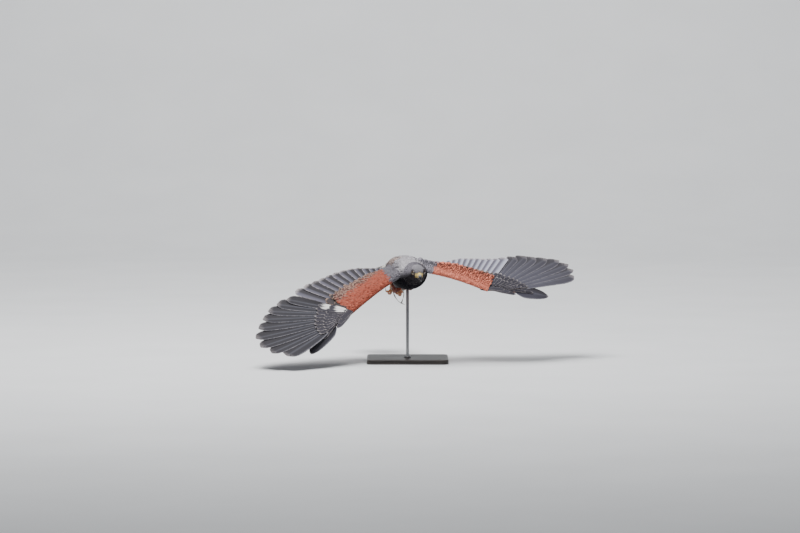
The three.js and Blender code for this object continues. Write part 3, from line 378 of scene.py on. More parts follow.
# %% Lines from the plan
def wing_frame(out, sweep, droop, twist):
    """Along the bone, back along the chord and up, from sweep, droop and twist in degrees."""
    s, d, w = np.radians(sweep), np.radians(droop), np.radians(twist)[..., None]
    axis = swing(swing(out, FORWARD, s), -UP, d)
    flat = squared(swing(-FORWARD, out, s), axis)
    rise = squared(squared(UP, axis), flat)
    return axis, swing(flat, rise, w), swing(rise, -flat, w)


def inward(i):
    """A secondary's place: none at the wrist, and more the nearer it is to the body."""
    return LAST_PLACE * (i - PRIMARIES) / (SECONDARIES - 1)


def nearness(i):
    """How near the body a secondary is: even at first, then easing toward the last."""
    t = inward(i)
    past = np.maximum(t - EVEN_UNTIL, 0)
    return np.maximum(t, 0) - past**2 / (2 * (LAST_PLACE - EVEN_UNTIL))


def primary_row(side, number, wrist, hand):
    """Root, direction, upward way, length and bend of a primary, spread from the hand."""
    a, t = WING[side], (number - 1) / (PRIMARIES - 1)
    spread = mix(a.inner_spread, a.outer_spread, t**1.15)
    length, bend = PRIMARY_LENGTHS[number - 1], PRIMARY_BEND
    if number == PRIMARIES:
        spread, length, bend = (getattr(OUTERMOST[side], k) for k in ("spread", "length", "bend"))
    straight = wrist + hand[0] * HAND_LENGTH * mix(*PRIMARY_ROOTS, t)
    rise = hand[2] * np.sin(np.radians(a.inner_rise) * (1 - t) ** 2)
    tip = straight + length * (swing(hand[0], hand[1], np.radians(spread)) + rise)
    root = straight - hand[1] * HAND_CURVE * t * t
    return [*root, *unit(tip - root), *hand[2], np.linalg.norm(tip - root), bend]


def secondary_row(side, i, wrist, out):
    """The same for a secondary, whose plane turns level toward the body."""
    a, t, near = WING[side], inward(i), nearness(i)
    tertial = max((t - TERTIALS_FROM) / (LAST_PLACE - TERTIALS_FROM), 0) ** 1.5
    axis, chord, up = wing_frame(out, a.sweep, a.droop, mix(a.twist, a.inner_twist, near))
    spread = np.radians(mix(a.secondary_spread, INNERMOST_SPREAD, near))
    inside = ARM_LENGTH[side] * (ARM_ROOTS[0] + ARM_ROOTS[1] * t)
    root = wrist - axis * inside + chord * INNERMOST_BACK * near
    length = SECONDARY_LENGTH - INNERMOST_SHORTER * near + OUTERMOST_LONGER * (1 - near) ** 4
    bend, length = mix(*TERTIAL_BEND, tertial), length - TERTIAL_SHORTER * tertial
    return [*root, *swing(axis, chord, spread), *up, length, bend]


def wing_plan(side):
    """The bones' frames of a wing, and its flight feathers from the outermost inward."""
    a, out = WING[side], SIDE * SIGN[side]
    shoulder = SHOULDER * [out[0], 1, 1]
    arm = wing_frame(out, a.sweep, a.droop, a.twist)
    hand = wing_frame(out, a.hand_sweep, a.hand_droop, a.hand_twist)
    wrist = shoulder + arm[0] * ARM_LENGTH[side]
    rows = [primary_row(side, number, wrist, hand) for number in range(PRIMARIES, 0, -1)]
    rows += [secondary_row(side, PRIMARIES + i, wrist, out) for i in range(SECONDARIES)]
    rows = np.array(rows)
    rows[:, 9] *= chance.uniform(0.992, 1.008, len(rows))
    return SimpleNamespace(
        side=side, out=out, shoulder=shoulder, wrist=wrist, arm=arm, hand=hand,
        root=rows[:, :3], along=rows[:, 3:6], up=rows[:, 6:9], length=rows[:, 9],
        bend=rows[:, 10],
    )


def feather_point(plan, i, distance):
    """Root plus distance along, bent upward by the square of the share of the length."""
    share = (distance / plan.length[i])[..., None]
    rise = plan.bend[i] * plan.length[i] * share**2
    return plan.root[i] + plan.along[i] * distance[..., None] + plan.up[i] * rise


plans = {side: wing_plan(side) for side in SIGN}
for side, plan in plans.items():
    tip = feather_point(plan, 1, plan.length[1:2])[0]
    print(side, "wing's ninth primary ends at, mm:", in_room(tip).round(0))

# %% [markdown]
# ## One vane
# A flight feather is a stiff shaft with a thin vane on either side, narrow in front and broad
# behind. It is hollowed a little below, and its shaft stands proud. A flat card would pass
# from far off, but not near the eye, so each vane here is a closed grid: a row of points
# across, repeated along the line, with its two faces apart by the vane's thickness.

# %% Sizes of a vane, and the mesh of a row
COLUMNS = np.array([-1, -0.94, -0.72, -0.45, -0.2, -0.05, 0, 0.05, 0.2, 0.45, 0.72, 0.94, 1])
VANE_THICKNESS = 0.55
SHAFT_HEIGHT = 0.7
SHAFT_WIDTH = 0.045
FLIGHT_CAMBER, COVERT_CAMBER, TAIL_COVERT_CAMBER = 0.09, 0.12, 0.14
NICKS = 0.035


def cells(count):
    """An even grid of places on OFBake, one for each vane."""
    columns = int(np.ceil(np.sqrt(count)))
    rows = int(np.ceil(count / columns))
    return [
        ((k % columns) / columns, (k // columns) / rows, 1 / columns, 1 / rows)
        for k in range(count)
    ]


def coat_mesh(name, vanes):
    """Many vanes as one mesh: their arrays put end to end, the faces counted on."""
    points, quads, values, bake = zip(*vanes)
    starts = np.cumsum([0, *map(len, points)])
    quads = np.vstack([q + start for q, start in zip(quads, starts)])
    values = {key: np.vstack([v[key] for v in values]) for key in values[0]}
    return new_mesh(name, np.vstack(points), quads, values, np.vstack(bake))


print("points in one section of a vane:", 2 * len(COLUMNS))


# %% The vane
def by_web(column, leading, trailing):
    """A value for the narrow web in front of the shaft, and one for the broad web behind."""
    return np.where(column < 0, leading[:, None], trailing[:, None])


def vane_quads(rows, count):
    """A tube of flat sections, closed at both ends by strips between its two faces."""
    k, size = np.arange(count - 1), 2 * count
    cap = np.stack([k, size - 1 - k, size - 2 - k, k + 1], -1)
    return np.vstack([ring_quads(rows, size), cap, cap[:, ::-1] + (rows - 1) * size])


def vane_sections(line, camber):
    """Across: leading or trailing width times the column. Up: half the thickness, less a
    camber that grows with the square of the column, and at the middle column the shaft,
    which thins toward the tip."""
    share = line.share
    nicks = NICKS * chance.random((len(share), 2)) * ease((share - 0.3) / 0.4)[:, None]
    width = by_web(COLUMNS, line.leading * (1 - nicks[:, 0]), line.trailing * (1 - nicks[:, 1]))
    shaft = np.exp(-((COLUMNS / SHAFT_WIDTH) ** 2)) * (SHAFT_HEIGHT * (1 - 0.85 * share))[:, None]
    curve = -camber * width * COLUMNS**2
    thick = VANE_THICKNESS / 2 * (1 - 0.5 * COLUMNS**2)
    flat = line.middle[:, None] - line.across[:, None] * (COLUMNS * width)[..., None]
    top = flat + line.face[:, None] * (curve + thick + shaft)[..., None]
    low = flat + line.face[:, None] * (curve - thick - 0.4 * shaft)[..., None]
    return np.concatenate([top, low[:, ::-1]], 1)


def vane(line, tints, cell, camber=COVERT_CAMBER):
    """A closed vane: points, faces, values and its place on OFBake, which is the cell."""
    ring = vane_sections(line, camber)
    rows, size = ring.shape[:2]
    column = np.tile(np.concatenate([COLUMNS, COLUMNS[::-1]]), (rows, 1))
    upper = np.tile(np.arange(size) < size // 2, (rows, 1))
    along = np.tile(line.share[:, None], (1, size))
    tag = chance.random()
    width = by_web(column, line.leading, line.trailing)
    colour = np.where(upper[..., None], tints.top(column, along), tints.under(column, along))
    colour = np.clip(colour * (1 + tints.vary * (tag - 0.5)), 0, 1)
    values = {
        "vane": np.stack([column, along, upper], -1),
        "barb": np.stack([column * width, along * line.run, np.full_like(along, tag)], -1),
        "tint": opaque(colour),
        "fringe": np.broadcast_to(tints.fringe, (rows, size, 4)),
    }
    patch = np.stack([0.5 + 0.48 * column, along], -1) * [0.48, 0.96] + [0.01, 0.02]
    patch = np.where(upper[..., None], patch, patch + [0.5, 0]) * cell[2:] + cell[:2]
    quads = vane_quads(rows, size // 2)
    if np.dot(np.cross(ring[1, 0] - ring[0, 0], line.across[0]), line.face[0]) < 0:
        quads = quads[:, ::-1]
    values = {key: array.reshape(rows * size, -1) for key, array in values.items()}
    return ring.reshape(-1, 3), quads, values, patch.reshape(-1, 2)[quads.ravel()]


print("faces of a vane of 20 sections:", len(vane_quads(20, len(COLUMNS))))

# %% [markdown]
# ## Feather lines turned into vanes
# Where a wing is spread, each vane must pass between its neighbours. Its width is therefore
# held to a share of the spacing, and the tilt that lifts its leading edge over the next vane
# is worked out from the same spacing. Near the tips the outer primaries stand free.

# %% Outlines
QUILL_LENGTH = 32
QUILL_RADIUS = 1.3
STEEPEST_TILT = 0.4
CLEARANCE = 1.5
LEADING_SHARE, TRAILING_SHARE = 0.75, 1.15
PRIMARY_OUTLINE = [  # share of the vane, leading and trailing width
    [0, 2.8, 3.2], [0.3, 12, 24], [0.56, 16, 34], [0.84, 17, 38], [0.95, 12, 27], [1, 2, 3.5],
]
OUTERMOST_OUTLINE = [
    [0, 10, 8], [0.2, 21, 19], [0.5, 22, 27], [0.8, 16, 21], [0.95, 8, 10], [1, 1.6, 1.8],
]
SECONDARY_OUTLINE = [[0, 3.6, 4.5], [0.25, 12, 20], [0.6, 15, 24], [0.94, 15, 23], [1, 6, 10]]
COVERT_OUTLINE = [
    [0, 0.3, 0.3], [0.4, 0.62, 0.66], [0.8, 0.6, 0.66], [0.93, 0.45, 0.5], [1, 0.1, 0.14],
]
print("widest primary, mm:", sum(max(PRIMARY_OUTLINE, key=lambda row: row[2])[1:]))


# %% Lines with widths
def tilted(lead, rise, spacing, flat=False):
    """The way across and the upward way, tilted by the clearance over the spacing."""
    tilt = np.arcsin(np.minimum(CLEARANCE / spacing, STEEPEST_TILT))[:, None] * (0 if flat else 1)
    return dict(across=swing(lead, rise, tilt), face=swing(rise, -lead, tilt))


def wing_line(plan, i, distance, lift=0.0):
    """Middle, tilted way across, upward way and spacing along one feather."""
    near = min(max(i, 2), len(plan.root) - 2)
    start = feather_point(plan, i, distance)
    along = unit(feather_point(plan, i, distance + 1) - start)

    def apart(at):
        """From the next feather inward to the next outward, squared to this one."""
        across = feather_point(plan, near - 1, at) - feather_point(plan, near + 1, at)
        return across - (across * along).sum(-1, keepdims=True) * along

    steady = np.maximum(distance, 2 * QUILL_LENGTH) if i < PRIMARIES - 1 else distance
    lead = unit(apart(steady))
    rise = np.cross(lead, along)
    rise = rise * np.sign((rise * plan.up[i]).sum(-1, keepdims=True))
    spacing = np.linalg.norm(apart(distance), axis=-1) / 2
    ways = tilted(lead, rise, spacing)
    if i == 0:
        twist = -np.radians(OUTERMOST[plan.side].twist)
        ways = dict(across=swing(lead, rise, twist), face=swing(rise, -lead, twist))
    middle = start + rise * np.reshape(lift, (-1, 1))
    return SimpleNamespace(middle=middle, spacing=spacing, **ways)


def flight_line(plan, i, steps=44):
    """A flight feather's line with the widths of its vane."""
    length = plan.length[i]
    outline = SECONDARY_OUTLINE if i >= PRIMARIES else PRIMARY_OUTLINE if i else OUTERMOST_OUTLINE
    reach = np.sin(np.linspace(0, 1, steps) * np.pi / 2) ** 1.15
    quill = np.linspace(-SECONDARY_SUNK * nearness(i), QUILL_LENGTH * 0.8, 5)
    distance = np.concatenate([quill, QUILL_LENGTH + (length - QUILL_LENGTH) * reach])
    line = wing_line(plan, i, distance)
    row = between(outline, np.clip((distance - QUILL_LENGTH) / (length - QUILL_LENGTH), 0, 1))
    row = np.where((distance < QUILL_LENGTH * 0.9)[:, None], QUILL_RADIUS, row)
    line.leading, line.trailing = row[:, 1], row[:, 2]
    if i > 0:
        seam_front = 1.6 if i in (1, PRIMARIES) else 1.0
        seam_back = 1.4 if i == PRIMARIES - 1 else 1.0
        room = LEADING_SHARE * seam_front * line.spacing
        line.leading = np.minimum(line.leading * seam_front, room)
        line.trailing = np.minimum(line.trailing, TRAILING_SHARE * seam_back * line.spacing)
    line.share, line.run = np.clip(distance / length, 0, 1), length
    return line


def lift_from(distance, start, end, low, high):
    """Low at a covert's root, in the flesh, and level from a third of its length on."""
    return mix(low, high, np.clip((distance - start) / (0.35 * (end - start)), 0, 1))


def covert_line(plan, i, start, end, low, high, widely=1.0, steps=18):
    """A covert that lies over one flight feather, as wide as its row's spacing asks."""
    share = np.linspace(0, 1, steps)
    distance = mix(start, end, share)
    line = wing_line(plan, i, distance, lift_from(distance, start, end, low, high))
    row = between(COVERT_OUTLINE, share)
    wide = np.minimum(line.spacing, 30) * widely * chance.uniform(0.95, 1.05)
    line.leading, line.trailing = row[:, 1] * wide, row[:, 2] * wide
    line.share, line.run = share, end - start
    return line


print("sections of a flight feather:", len(flight_line(plans["left"], 5).share))

# %% [markdown]
# ## Colours of the plumage
# A harris hawk is dark chocolate to slate, with chestnut shoulders, thighs and underwing, a
# white rump and a white band at the tip of its tail. Colours are light fractions, so dark
# feathers are only a few hundredths. The fringe is the pale edge of each feather, and its
# fourth number says how strong it is.

# %% Colours
SLATE, SLATE_PALE, SLATE_UNDER, DARK, PALE_BASE = np.array([
    [0.064, 0.061, 0.08], [0.22, 0.225, 0.275], [0.16, 0.15, 0.155], [0.035, 0.032, 0.038],
    [0.42, 0.4, 0.38],
])
# Painted light: the back's two colours are top light and sheen over dark brown; the breast's near
# black is painted shade, and the mantle's grey is partly painted sheen.
BACK_PAINTED_LIGHT, BACK_WARM, BREAST_PAINTED_SHADE, MANTLE = np.array([
    [0.42, 0.4, 0.43], [0.45, 0.33, 0.28], [0.008, 0.0075, 0.01], [0.165, 0.155, 0.18],
])
CHESTNUT, CHESTNUT_PALE, WHITE = np.array([
    [0.27, 0.047, 0.028], [0.66, 0.21, 0.14], [0.78, 0.76, 0.74],
])
FRINGE, FRINGE_BUFF, FRINGE_WARM = np.array([[0.55, 0.5, 0.5], [0.6, 0.4, 0.3], [0.5, 0.45, 0.42]])
COVERT_DARK, COVERT_HAND = np.array([[0.042, 0.034, 0.037], [0.036, 0.033, 0.044]])
# The nostril colour is painted shade in the nostrils' openings.
YELLOW_SKIN, NOSTRIL_PAINTED_SHADE = np.array([[0.72, 0.56, 0.2], [0.02, 0.015, 0.01]])
# Painted light and shade: the left wing's primaries are painted lighter, the right's darker.
PRIMARY_PAINTED_LIGHT = {"left": 0.85, "right": 0.28}
print("chestnut, light fractions:", CHESTNUT)


# %% Tints of a vane
def colours(count, base):
    """A colour for each feather of a row."""
    return base + np.zeros((count, 3))


def fringed(count, colour, strength):
    """A fringe's colour and strength for each feather."""
    return np.column_stack([colours(count, colour), np.broadcast_to(strength, count)])


def vane_tints(top, under, fringe, strength, vary=0.12):
    """What a vane's points read: colours above and below, the fringe, and how much one
    feather differs from the next."""
    return SimpleNamespace(top=top, under=under, fringe=[*fringe, strength], vary=vary)


def plain(colour):
    """The same colour all over a vane."""
    return lambda column, along: np.zeros((*column.shape, 3)) + colour


def covert_tints(colour, under, fringe, strength):
    """A plain covert with a fringe, above and below."""
    return vane_tints(plain(colour), plain(under), fringe, strength, 0.3)


def primary_tints(side):
    """Primaries: slate above, darker to the tip, with a pale base below."""
    def top(column, along):
        web = mix(SLATE * 1.35, DARK * 1.3, ease((column + 0.1) / 0.9)[..., None])
        dusk = ease((along - 0.4) / 0.6) * (0.45 + 0.3 * (column > 0))
        # The side's factor is painted light and shade on the upper webs.
        web = mix(web * PRIMARY_PAINTED_LIGHT[side], DARK, dusk[..., None])
        shaft, edge = np.exp(-((column / 0.09) ** 2)), ease((-column - 0.72) / 0.2)
        pale = (shaft * 0.4 + edge * 0.5) * (1 - 0.6 * dusk)
        return mix(web, SLATE_PALE * 0.8, pale[..., None])

    def under(column, along):
        return mix(SLATE_UNDER, PALE_BASE, ease((0.45 - along) / 0.3)[..., None] * 0.7)

    return vane_tints(top, under, FRINGE, 0.35)


def secondary_tints(side):
    """Secondaries: slate above, paler on the left wing, where the light rakes over them."""
    ends = {"left": (SLATE * 1.9, SLATE_PALE * 1.85), "right": (DARK * 0.9, SLATE * 1.9)}[side]

    def top(column, along):
        return mix(*ends, ease((-column - 0.1) / 0.6)[..., None])

    def under(column, along):
        bars = (0.5 + 0.5 * np.sin(along * 46)) * 0.3 * ease((0.95 - along) / 0.2)
        return SLATE_UNDER * (1 - bars[..., None])

    return vane_tints(top, under, FRINGE, 0.8)


print("fringe of a primary:", primary_tints("left").fringe)

# %% [markdown]
# ## Finishes from node groups
# A feather's finish is the same recipe in every colour, so it is one shader node group. It
# takes the values that the points carry and puts out a colour, a roughness and a height. The
# fine streaks run along the barbs, which leave the shaft slantwise toward the tip. The group
# feeds a material's own shader, which also holds the constants.

# %% Node helpers
def feed(tree, made, values):
    """Sockets are linked to a node's inputs, and plain values are set on them."""
    for key, value in values.items():
        if isinstance(value, bpy.types.NodeSocket):
            tree.links.new(value, made.inputs[key])
        else:
            made.inputs[key].default_value = value
    return made


def node(tree, kind, values=None, **settings):
    """A node with its settings, and its inputs fed by number or name."""
    made = tree.nodes.new(kind)
    for key, value in settings.items():
        setattr(made, key, value)
    return feed(tree, made, values or {})


def calc(tree, operation, a, b=0.0, c=0.0):
    """The result of one math operation on sockets or numbers."""
    return node(tree, "ShaderNodeMath", {0: a, 1: b, 2: c}, operation=operation).outputs[0]


def scaled(tree, value, factor, offset):
    """Value times factor plus offset."""
    return calc(tree, "MULTIPLY_ADD", value, factor, offset)


def band(tree, value, low, high):
    """Zero below low, one above high, smooth between. Both limits may be sockets."""
    settings = {"Value": value, "From Min": low, "From Max": high, "To Min": 0.0, "To Max": 1.0}
    made = node(tree, "ShaderNodeMapRange", settings, interpolation_type="SMOOTHSTEP")
    return made.outputs["Result"]


def blend_colour(tree, factor, a, b, kind="MIX"):
    """A colour between two, or one multiplied by the other."""
    inputs = {0: factor, 6: a, 7: b}
    return node(tree, "ShaderNodeMix", inputs, data_type="RGBA", blend_type=kind).outputs[2]


def ramp(tree, factor, stops):
    """A colour ramp through the stops."""
    made = node(tree, "ShaderNodeValToRGB", {0: factor})
    elements = made.color_ramp.elements
    while len(elements) < len(stops):
        elements.new(0.5)
    for element, (place, colour) in zip(elements, stops):
        element.position, element.color = place, (*colour, 1)
    return made.outputs[0]


def coordinates(tree, scale=(1.0, 1.0, 1.0)):
    """Object coordinates, scaled."""
    where = node(tree, "ShaderNodeTexCoord").outputs["Object"]
    return node(tree, "ShaderNodeMapping", {"Vector": where, "Scale": scale}).outputs[0]


def noise(tree, scale, detail, where=None):
    """Cloudy noise on the object's coordinates, or on a place that is given."""
    where = where or coordinates(tree)
    inputs = {"Vector": where, "Scale": scale, "Detail": detail}
    return node(tree, "ShaderNodeTexNoise", inputs).outputs[0]


def cells_noise(tree, scale, feature="F1"):
    """Cells on the object's coordinates: the distance to a cell's middle or to its edge."""
    inputs = {"Vector": coordinates(tree), "Scale": scale}
    return node(tree, "ShaderNodeTexVoronoi", inputs, feature=feature).outputs["Distance"]


def carried(tree, name):
    """A value that the points carry."""
    return node(tree, "ShaderNodeAttribute", attribute_name=name).outputs


def bump(tree, height, distance, strength):
    """A normal from a height."""
    inputs = {"Height": height, "Distance": distance, "Strength": strength}
    return node(tree, "ShaderNodeBump", inputs).outputs["Normal"]


def material(name, recipe):
    """A material whose shader is fed what the recipe makes in the material's own tree."""
    made = bpy.data.materials.new(name)
    made.use_nodes = True
    tree = made.node_tree
    feed(tree, tree.nodes["Principled BSDF"], recipe(tree))
    return made


print("node helpers ready, materials so far:", len(bpy.data.materials))

# %% The feather group
FEATHER_INPUTS = {
    "Tint": "Color", "Fringe": "Color", "Fringe Strength": "Float", "Vane": "Vector",
    "Barb": "Vector", "Streaks": "Float", "Softness": "Float", "Edge": "Float",
}
SHAFT_COLOUR = (0.02, 0.017, 0.015, 1)


def feather_group():
    """Colour: the tint, streaked along the barbs, darker on the shaft, then the fringe over
    it by the distance to the edge or tip. Height: barbs, streaks and shaft."""
    tree = bpy.data.node_groups.new("feather_finish", "ShaderNodeTree")
    for title, kind in FEATHER_INPUTS.items():
        tree.interface.new_socket(title, in_out="INPUT", socket_type=f"NodeSocket{kind}")
    for title, kind in (("Color", "Color"), ("Roughness", "Float"), ("Height", "Float")):
        tree.interface.new_socket(title, in_out="OUTPUT", socket_type=f"NodeSocket{kind}")
    i, out = tree.nodes.new("NodeGroupInput").outputs, tree.nodes.new("NodeGroupOutput")
    column, along = node(tree, "ShaderNodeSeparateXYZ", {0: i["Vane"]}).outputs[:2]
    barb = node(tree, "ShaderNodeSeparateXYZ", {0: i["Barb"]}).outputs
    off_shaft, across = calc(tree, "ABSOLUTE", column), calc(tree, "ABSOLUTE", barb[0])
    slant = scaled(tree, across, -1.15, barb[1])
    off, own = calc(tree, "MULTIPLY", across, 0.06), calc(tree, "MULTIPLY", barb[2], 50.0)
    spot = node(tree, "ShaderNodeCombineXYZ", {0: slant, 1: off, 2: own}).outputs[0]
    fine, broad = noise(tree, 1.1, 3.0, spot), noise(tree, 0.16, 2.0, spot)
    streak = scaled(tree, fine, 0.6, calc(tree, "MULTIPLY", broad, 0.6))
    level = scaled(tree, calc(tree, "SUBTRACT", streak, 0.6), i["Streaks"], 1.0)
    shade = node(tree, "ShaderNodeCombineColor", {0: level, 1: level, 2: level}).outputs[0]
    body = blend_colour(tree, 1.0, i["Tint"], shade, "MULTIPLY")
    tip = band(tree, along, scaled(tree, i["Edge"], 0.4, 0.6), 1.0)
    rim = calc(tree, "MAXIMUM", band(tree, off_shaft, i["Edge"], 1.0), tip)
    broken = calc(tree, "MULTIPLY", rim, band(tree, broad, 0.3, 0.62))
    edge = calc(tree, "MULTIPLY", broken, i["Fringe Strength"])
    body = blend_colour(tree, edge, body, i["Fringe"])
    shaft = band(tree, off_shaft, 0.07, 0.03)
    ribs = calc(tree, "SINE", calc(tree, "MULTIPLY", slant, 7.5))
    relief = scaled(tree, streak, 0.5, calc(tree, "MULTIPLY", shaft, 0.6))
    feed(tree, out, {
        "Color": blend_colour(tree, calc(tree, "MULTIPLY", shaft, 0.18), body, SHAFT_COLOUR),
        "Roughness": scaled(tree, streak, 0.2, calc(tree, "SUBTRACT", i["Softness"], 0.1)),
        "Height": scaled(tree, ribs, 0.09, relief),
    })
    return tree


FEATHER_GROUP = feather_group()
print("nodes in the feather group:", len(FEATHER_GROUP.nodes))


# %% Feather materials
def feather_material(name, streaks, softness, sheen, edge, gloss=0.1, relief=0.0002):
    """The feather group fed from the points' own values, with a weak sheen from the barbs."""
    def recipe(tree):
        fringe = carried(tree, "fringe")
        group = node(tree, "ShaderNodeGroup", node_tree=FEATHER_GROUP)
        out = feed(tree, group, {
            "Tint": carried(tree, "tint")["Color"], "Fringe": fringe["Color"],
            "Fringe Strength": fringe["Alpha"], "Vane": carried(tree, "vane")["Vector"],
            "Barb": carried(tree, "barb")["Vector"], "Streaks": streaks,
            "Softness": softness, "Edge": edge,
        }).outputs
        return {
            "Base Color": out["Color"], "Roughness": out["Roughness"],
            "Normal": bump(tree, out["Height"], relief, 0.6), "Sheen Weight": sheen,
            "Sheen Roughness": 0.5, "Specular IOR Level": gloss,
        }
    return material(name, recipe)


dark_feathers = feather_material("dark_feathers", 0.9, 0.7, 0.002, 0.6, 0.03)
chestnut_feathers = feather_material("chestnut_feathers", 0.9, 0.75, 0.01, 0.56, 0.06)
flight_vanes = feather_material("flight_vanes", 0.9, 0.55, 0.008, 0.8, 0.11, 0.00025)
white_feathers = feather_material("white_feathers", 0.3, 0.75, 0.02, 0.7)
print("feather materials:", [m.name for m in (dark_feathers, chestnut_feathers, flight_vanes)])

# %% [markdown]
# ## Skin, scales, horn, eyes and leather
# Bare parts of a hawk are few: yellow skin at the bill and eyes, scaled orange legs painted
# dark rust as shade under the body, a blue-grey bill with a black tip, black claws and dark
# wet eyes. Each finish varies over its surface in colour, gloss and relief, by noise or cells
# on the object's own coordinates.

# %% Skin and scales
def skin_recipe(tree):
    """Bare skin coloured by the points' tint, finely grained, with soft pores."""
    grain = noise(tree, 900.0, 4.0)
    shade = ramp(tree, grain, [(0.3, (0.7, 0.66, 0.6)), (0.7, (1.15, 1.1, 1.05))])
    return {
        "Base Color": blend_colour(tree, 1.0, carried(tree, "tint")["Color"], shade, "MULTIPLY"),
        "Roughness": scaled(tree, grain, 0.3, 0.38),
        "Normal": bump(tree, cells_noise(tree, 1400.0), 0.0004, 0.5),
        "Subsurface Weight": 0.1, "Subsurface Scale": 0.003,
    }


def scale_recipe(tree):
    """Leg skin in small cells, its yellow painted down to dark rust orange as shade under the body,
    with painted shade in the creases between them.
    """
    patch = noise(tree, 70.0, 5.0)
    plate = band(tree, cells_noise(tree, 620.0, "DISTANCE_TO_EDGE"), 0.0, 0.16)
    # Dark rust orange: the legs' yellow darkened as painted shade under the body. The plate mask
    # paints shade into the creases.
    shaded_orange = ramp(tree, patch, [
        (0.3, (0.36, 0.1, 0.016)), (0.55, (0.46, 0.16, 0.025)), (0.75, (0.28, 0.07, 0.013)),
    ])
    return {
        "Base Color": blend_colour(tree, plate, (0.12, 0.035, 0.01, 1), shaded_orange),
        "Roughness": scaled(tree, patch, 0.25, 0.33), "Normal": bump(tree, plate, 0.0005, 0.7),
        "Subsurface Weight": 0.08, "Subsurface Scale": 0.003,
    }


bare_skin, scaled_legs = material("bare_skin", skin_recipe), material("scaled_legs", scale_recipe)
print("skin:", bare_skin.name, scaled_legs.name)


# %% Horn, eye and leather
def horn_recipe(dark, light, rough):
    """Horn from its light root to its dark tip by the points' tint, with growth lines."""
    def recipe(tree):
        lines = noise(tree, 260.0, 6.0)
        tint = carried(tree, "tint")["Color"]
        share = node(tree, "ShaderNodeSeparateColor", {0: tint}).outputs[0]
        mixed = scaled(tree, calc(tree, "SUBTRACT", lines, 0.5), 0.25, share)
        return {
            "Base Color": blend_colour(tree, band(tree, mixed, 0.0, 1.0), (*light, 1), (*dark, 1)),
            "Roughness": scaled(tree, lines, 0.2, rough - 0.1),
            "Normal": bump(tree, lines, 0.0002, 0.35), "Coat Weight": 0.3, "Coat Roughness": 0.2,
        }
    return recipe


def eye_recipe(tree):
    """Rings about the gaze by the points' tint: pupil, dark brown iris with rays, rim."""
    parts = node(tree, "ShaderNodeSeparateColor", {0: carried(tree, "tint")["Color"]}).outputs
    turn = node(tree, "ShaderNodeCombineXYZ", {0: parts[1], 1: parts[2]}).outputs[0]
    rays = noise(tree, 14.0, 3.0, turn)
    iris = ramp(tree, parts[0], [
        (0.0, (0.003,) * 3), (0.4, (0.003,) * 3), (0.44, (0.035, 0.014, 0.006)),
        (0.66, (0.085, 0.034, 0.014)), (0.74, (0.02, 0.01, 0.006)), (1.0, (0.005, 0.004, 0.004)),
    ])
    shade = ramp(tree, rays, [(0.3, (0.6,) * 3), (0.7, (1.3, 1.2, 1.1))])
    return {
        "Base Color": blend_colour(tree, 1.0, iris, shade, "MULTIPLY"),
        "Roughness": scaled(tree, rays, 0.04, 0.03), "Coat Weight": 1.0, "Coat Roughness": 0.02,
    }


def leather_recipe(tree):
    """Worn grey-brown leather: creases by cells, rubbed pale by noise."""
    creases = band(tree, cells_noise(tree, 700.0, "DISTANCE_TO_EDGE"), 0.0, 0.2)
    rub = noise(tree, 120.0, 6.0)
    return {
        "Base Color": ramp(tree, rub, [
            (0.3, (0.1, 0.085, 0.075)), (0.6, (0.24, 0.215, 0.19)), (0.8, (0.36, 0.33, 0.3)),
        ]),
        "Roughness": scaled(tree, rub, 0.3, 0.4), "Normal": bump(tree, creases, 0.0003, 0.5),
    }


bill_horn = material("beak_keratin", horn_recipe((0.008, 0.008, 0.01), (0.16, 0.19, 0.24), 0.3))
claw_horn = material("claw_keratin", horn_recipe((0.006, 0.006, 0.007), (0.03, 0.028, 0.03), 0.28))
wet_eye, worn_leather = material("wet_eye", eye_recipe), material("worn_leather", leather_recipe)
print("materials so far:", len(bpy.data.materials))

# %% [markdown]
# ## The wings' long feathers
# The primaries and secondaries are what a wing is: they give it its outline from every side.
# Each is built from its own line. All of one row are joined into a single mesh, because they
# share a finish, and they stand for the solids of hand and arm.

# %% Primaries and secondaries
def flight_row(name, plan, numbers, tints):
    """One mesh with a vane for each numbered feather line."""
    return coat_mesh(name, [
        vane(flight_line(plan, i), tints, cell, FLIGHT_CAMBER)
        for cell, i in zip(cells(len(numbers)), numbers)
    ])


HAND_FEATHERS, ARM_FEATHERS = range(PRIMARIES), range(PRIMARIES, PRIMARIES + SECONDARIES)
for side, plan in plans.items():
    hand = flight_row(f"primaries_{side}", plan, HAND_FEATHERS, primary_tints(side))
    arm = flight_row(f"secondaries_{side}", plan, ARM_FEATHERS, secondary_tints(side))
    new_piece(hand, flight_vanes, [f"wing_{side}_hand"])
    new_piece(arm, flight_vanes, [f"wing_{side}_arm"])
    print(side, "wing faces:", len(hand.polygons) + len(arm.polygons))

# %% [markdown]
# ## The coverts over their roots
# Greater coverts lie one over each flight feather, above and below. Medians lie over the
# greater, and the alula is three stiff feathers on the hand's front edge. Their lines are
# those of the flight feathers, lifted a few millimetres, so the rows stay in order.

# %% Greater and median coverts
COVERT_UNDER, SPOT_UNDER = [0.28, 0.11, 0.07], [0.25, 0.12, 0.09]
UNDER_TOP, UNDER_BELOW = [0.2, 0.1, 0.08], [0.24, 0.1, 0.07]
GREATER_WHITE = {PRIMARIES - 1: (0.45, 0.9)}
MEDIAN_WHITE = {PRIMARIES - 1: (0.1, 0.75), PRIMARIES - 2: (0.05, 0.6)}


def white_spot(first, last):
    """White between two shares of a covert's length, slate brown before and after."""
    def top(column, along):
        end = last + 0.05 * np.sin(7 * column)
        inside = ease((along - first) / 0.12) * ease((end - along) / 0.1)
        return mix(COVERT_HAND, WHITE, inside[..., None])
    return top


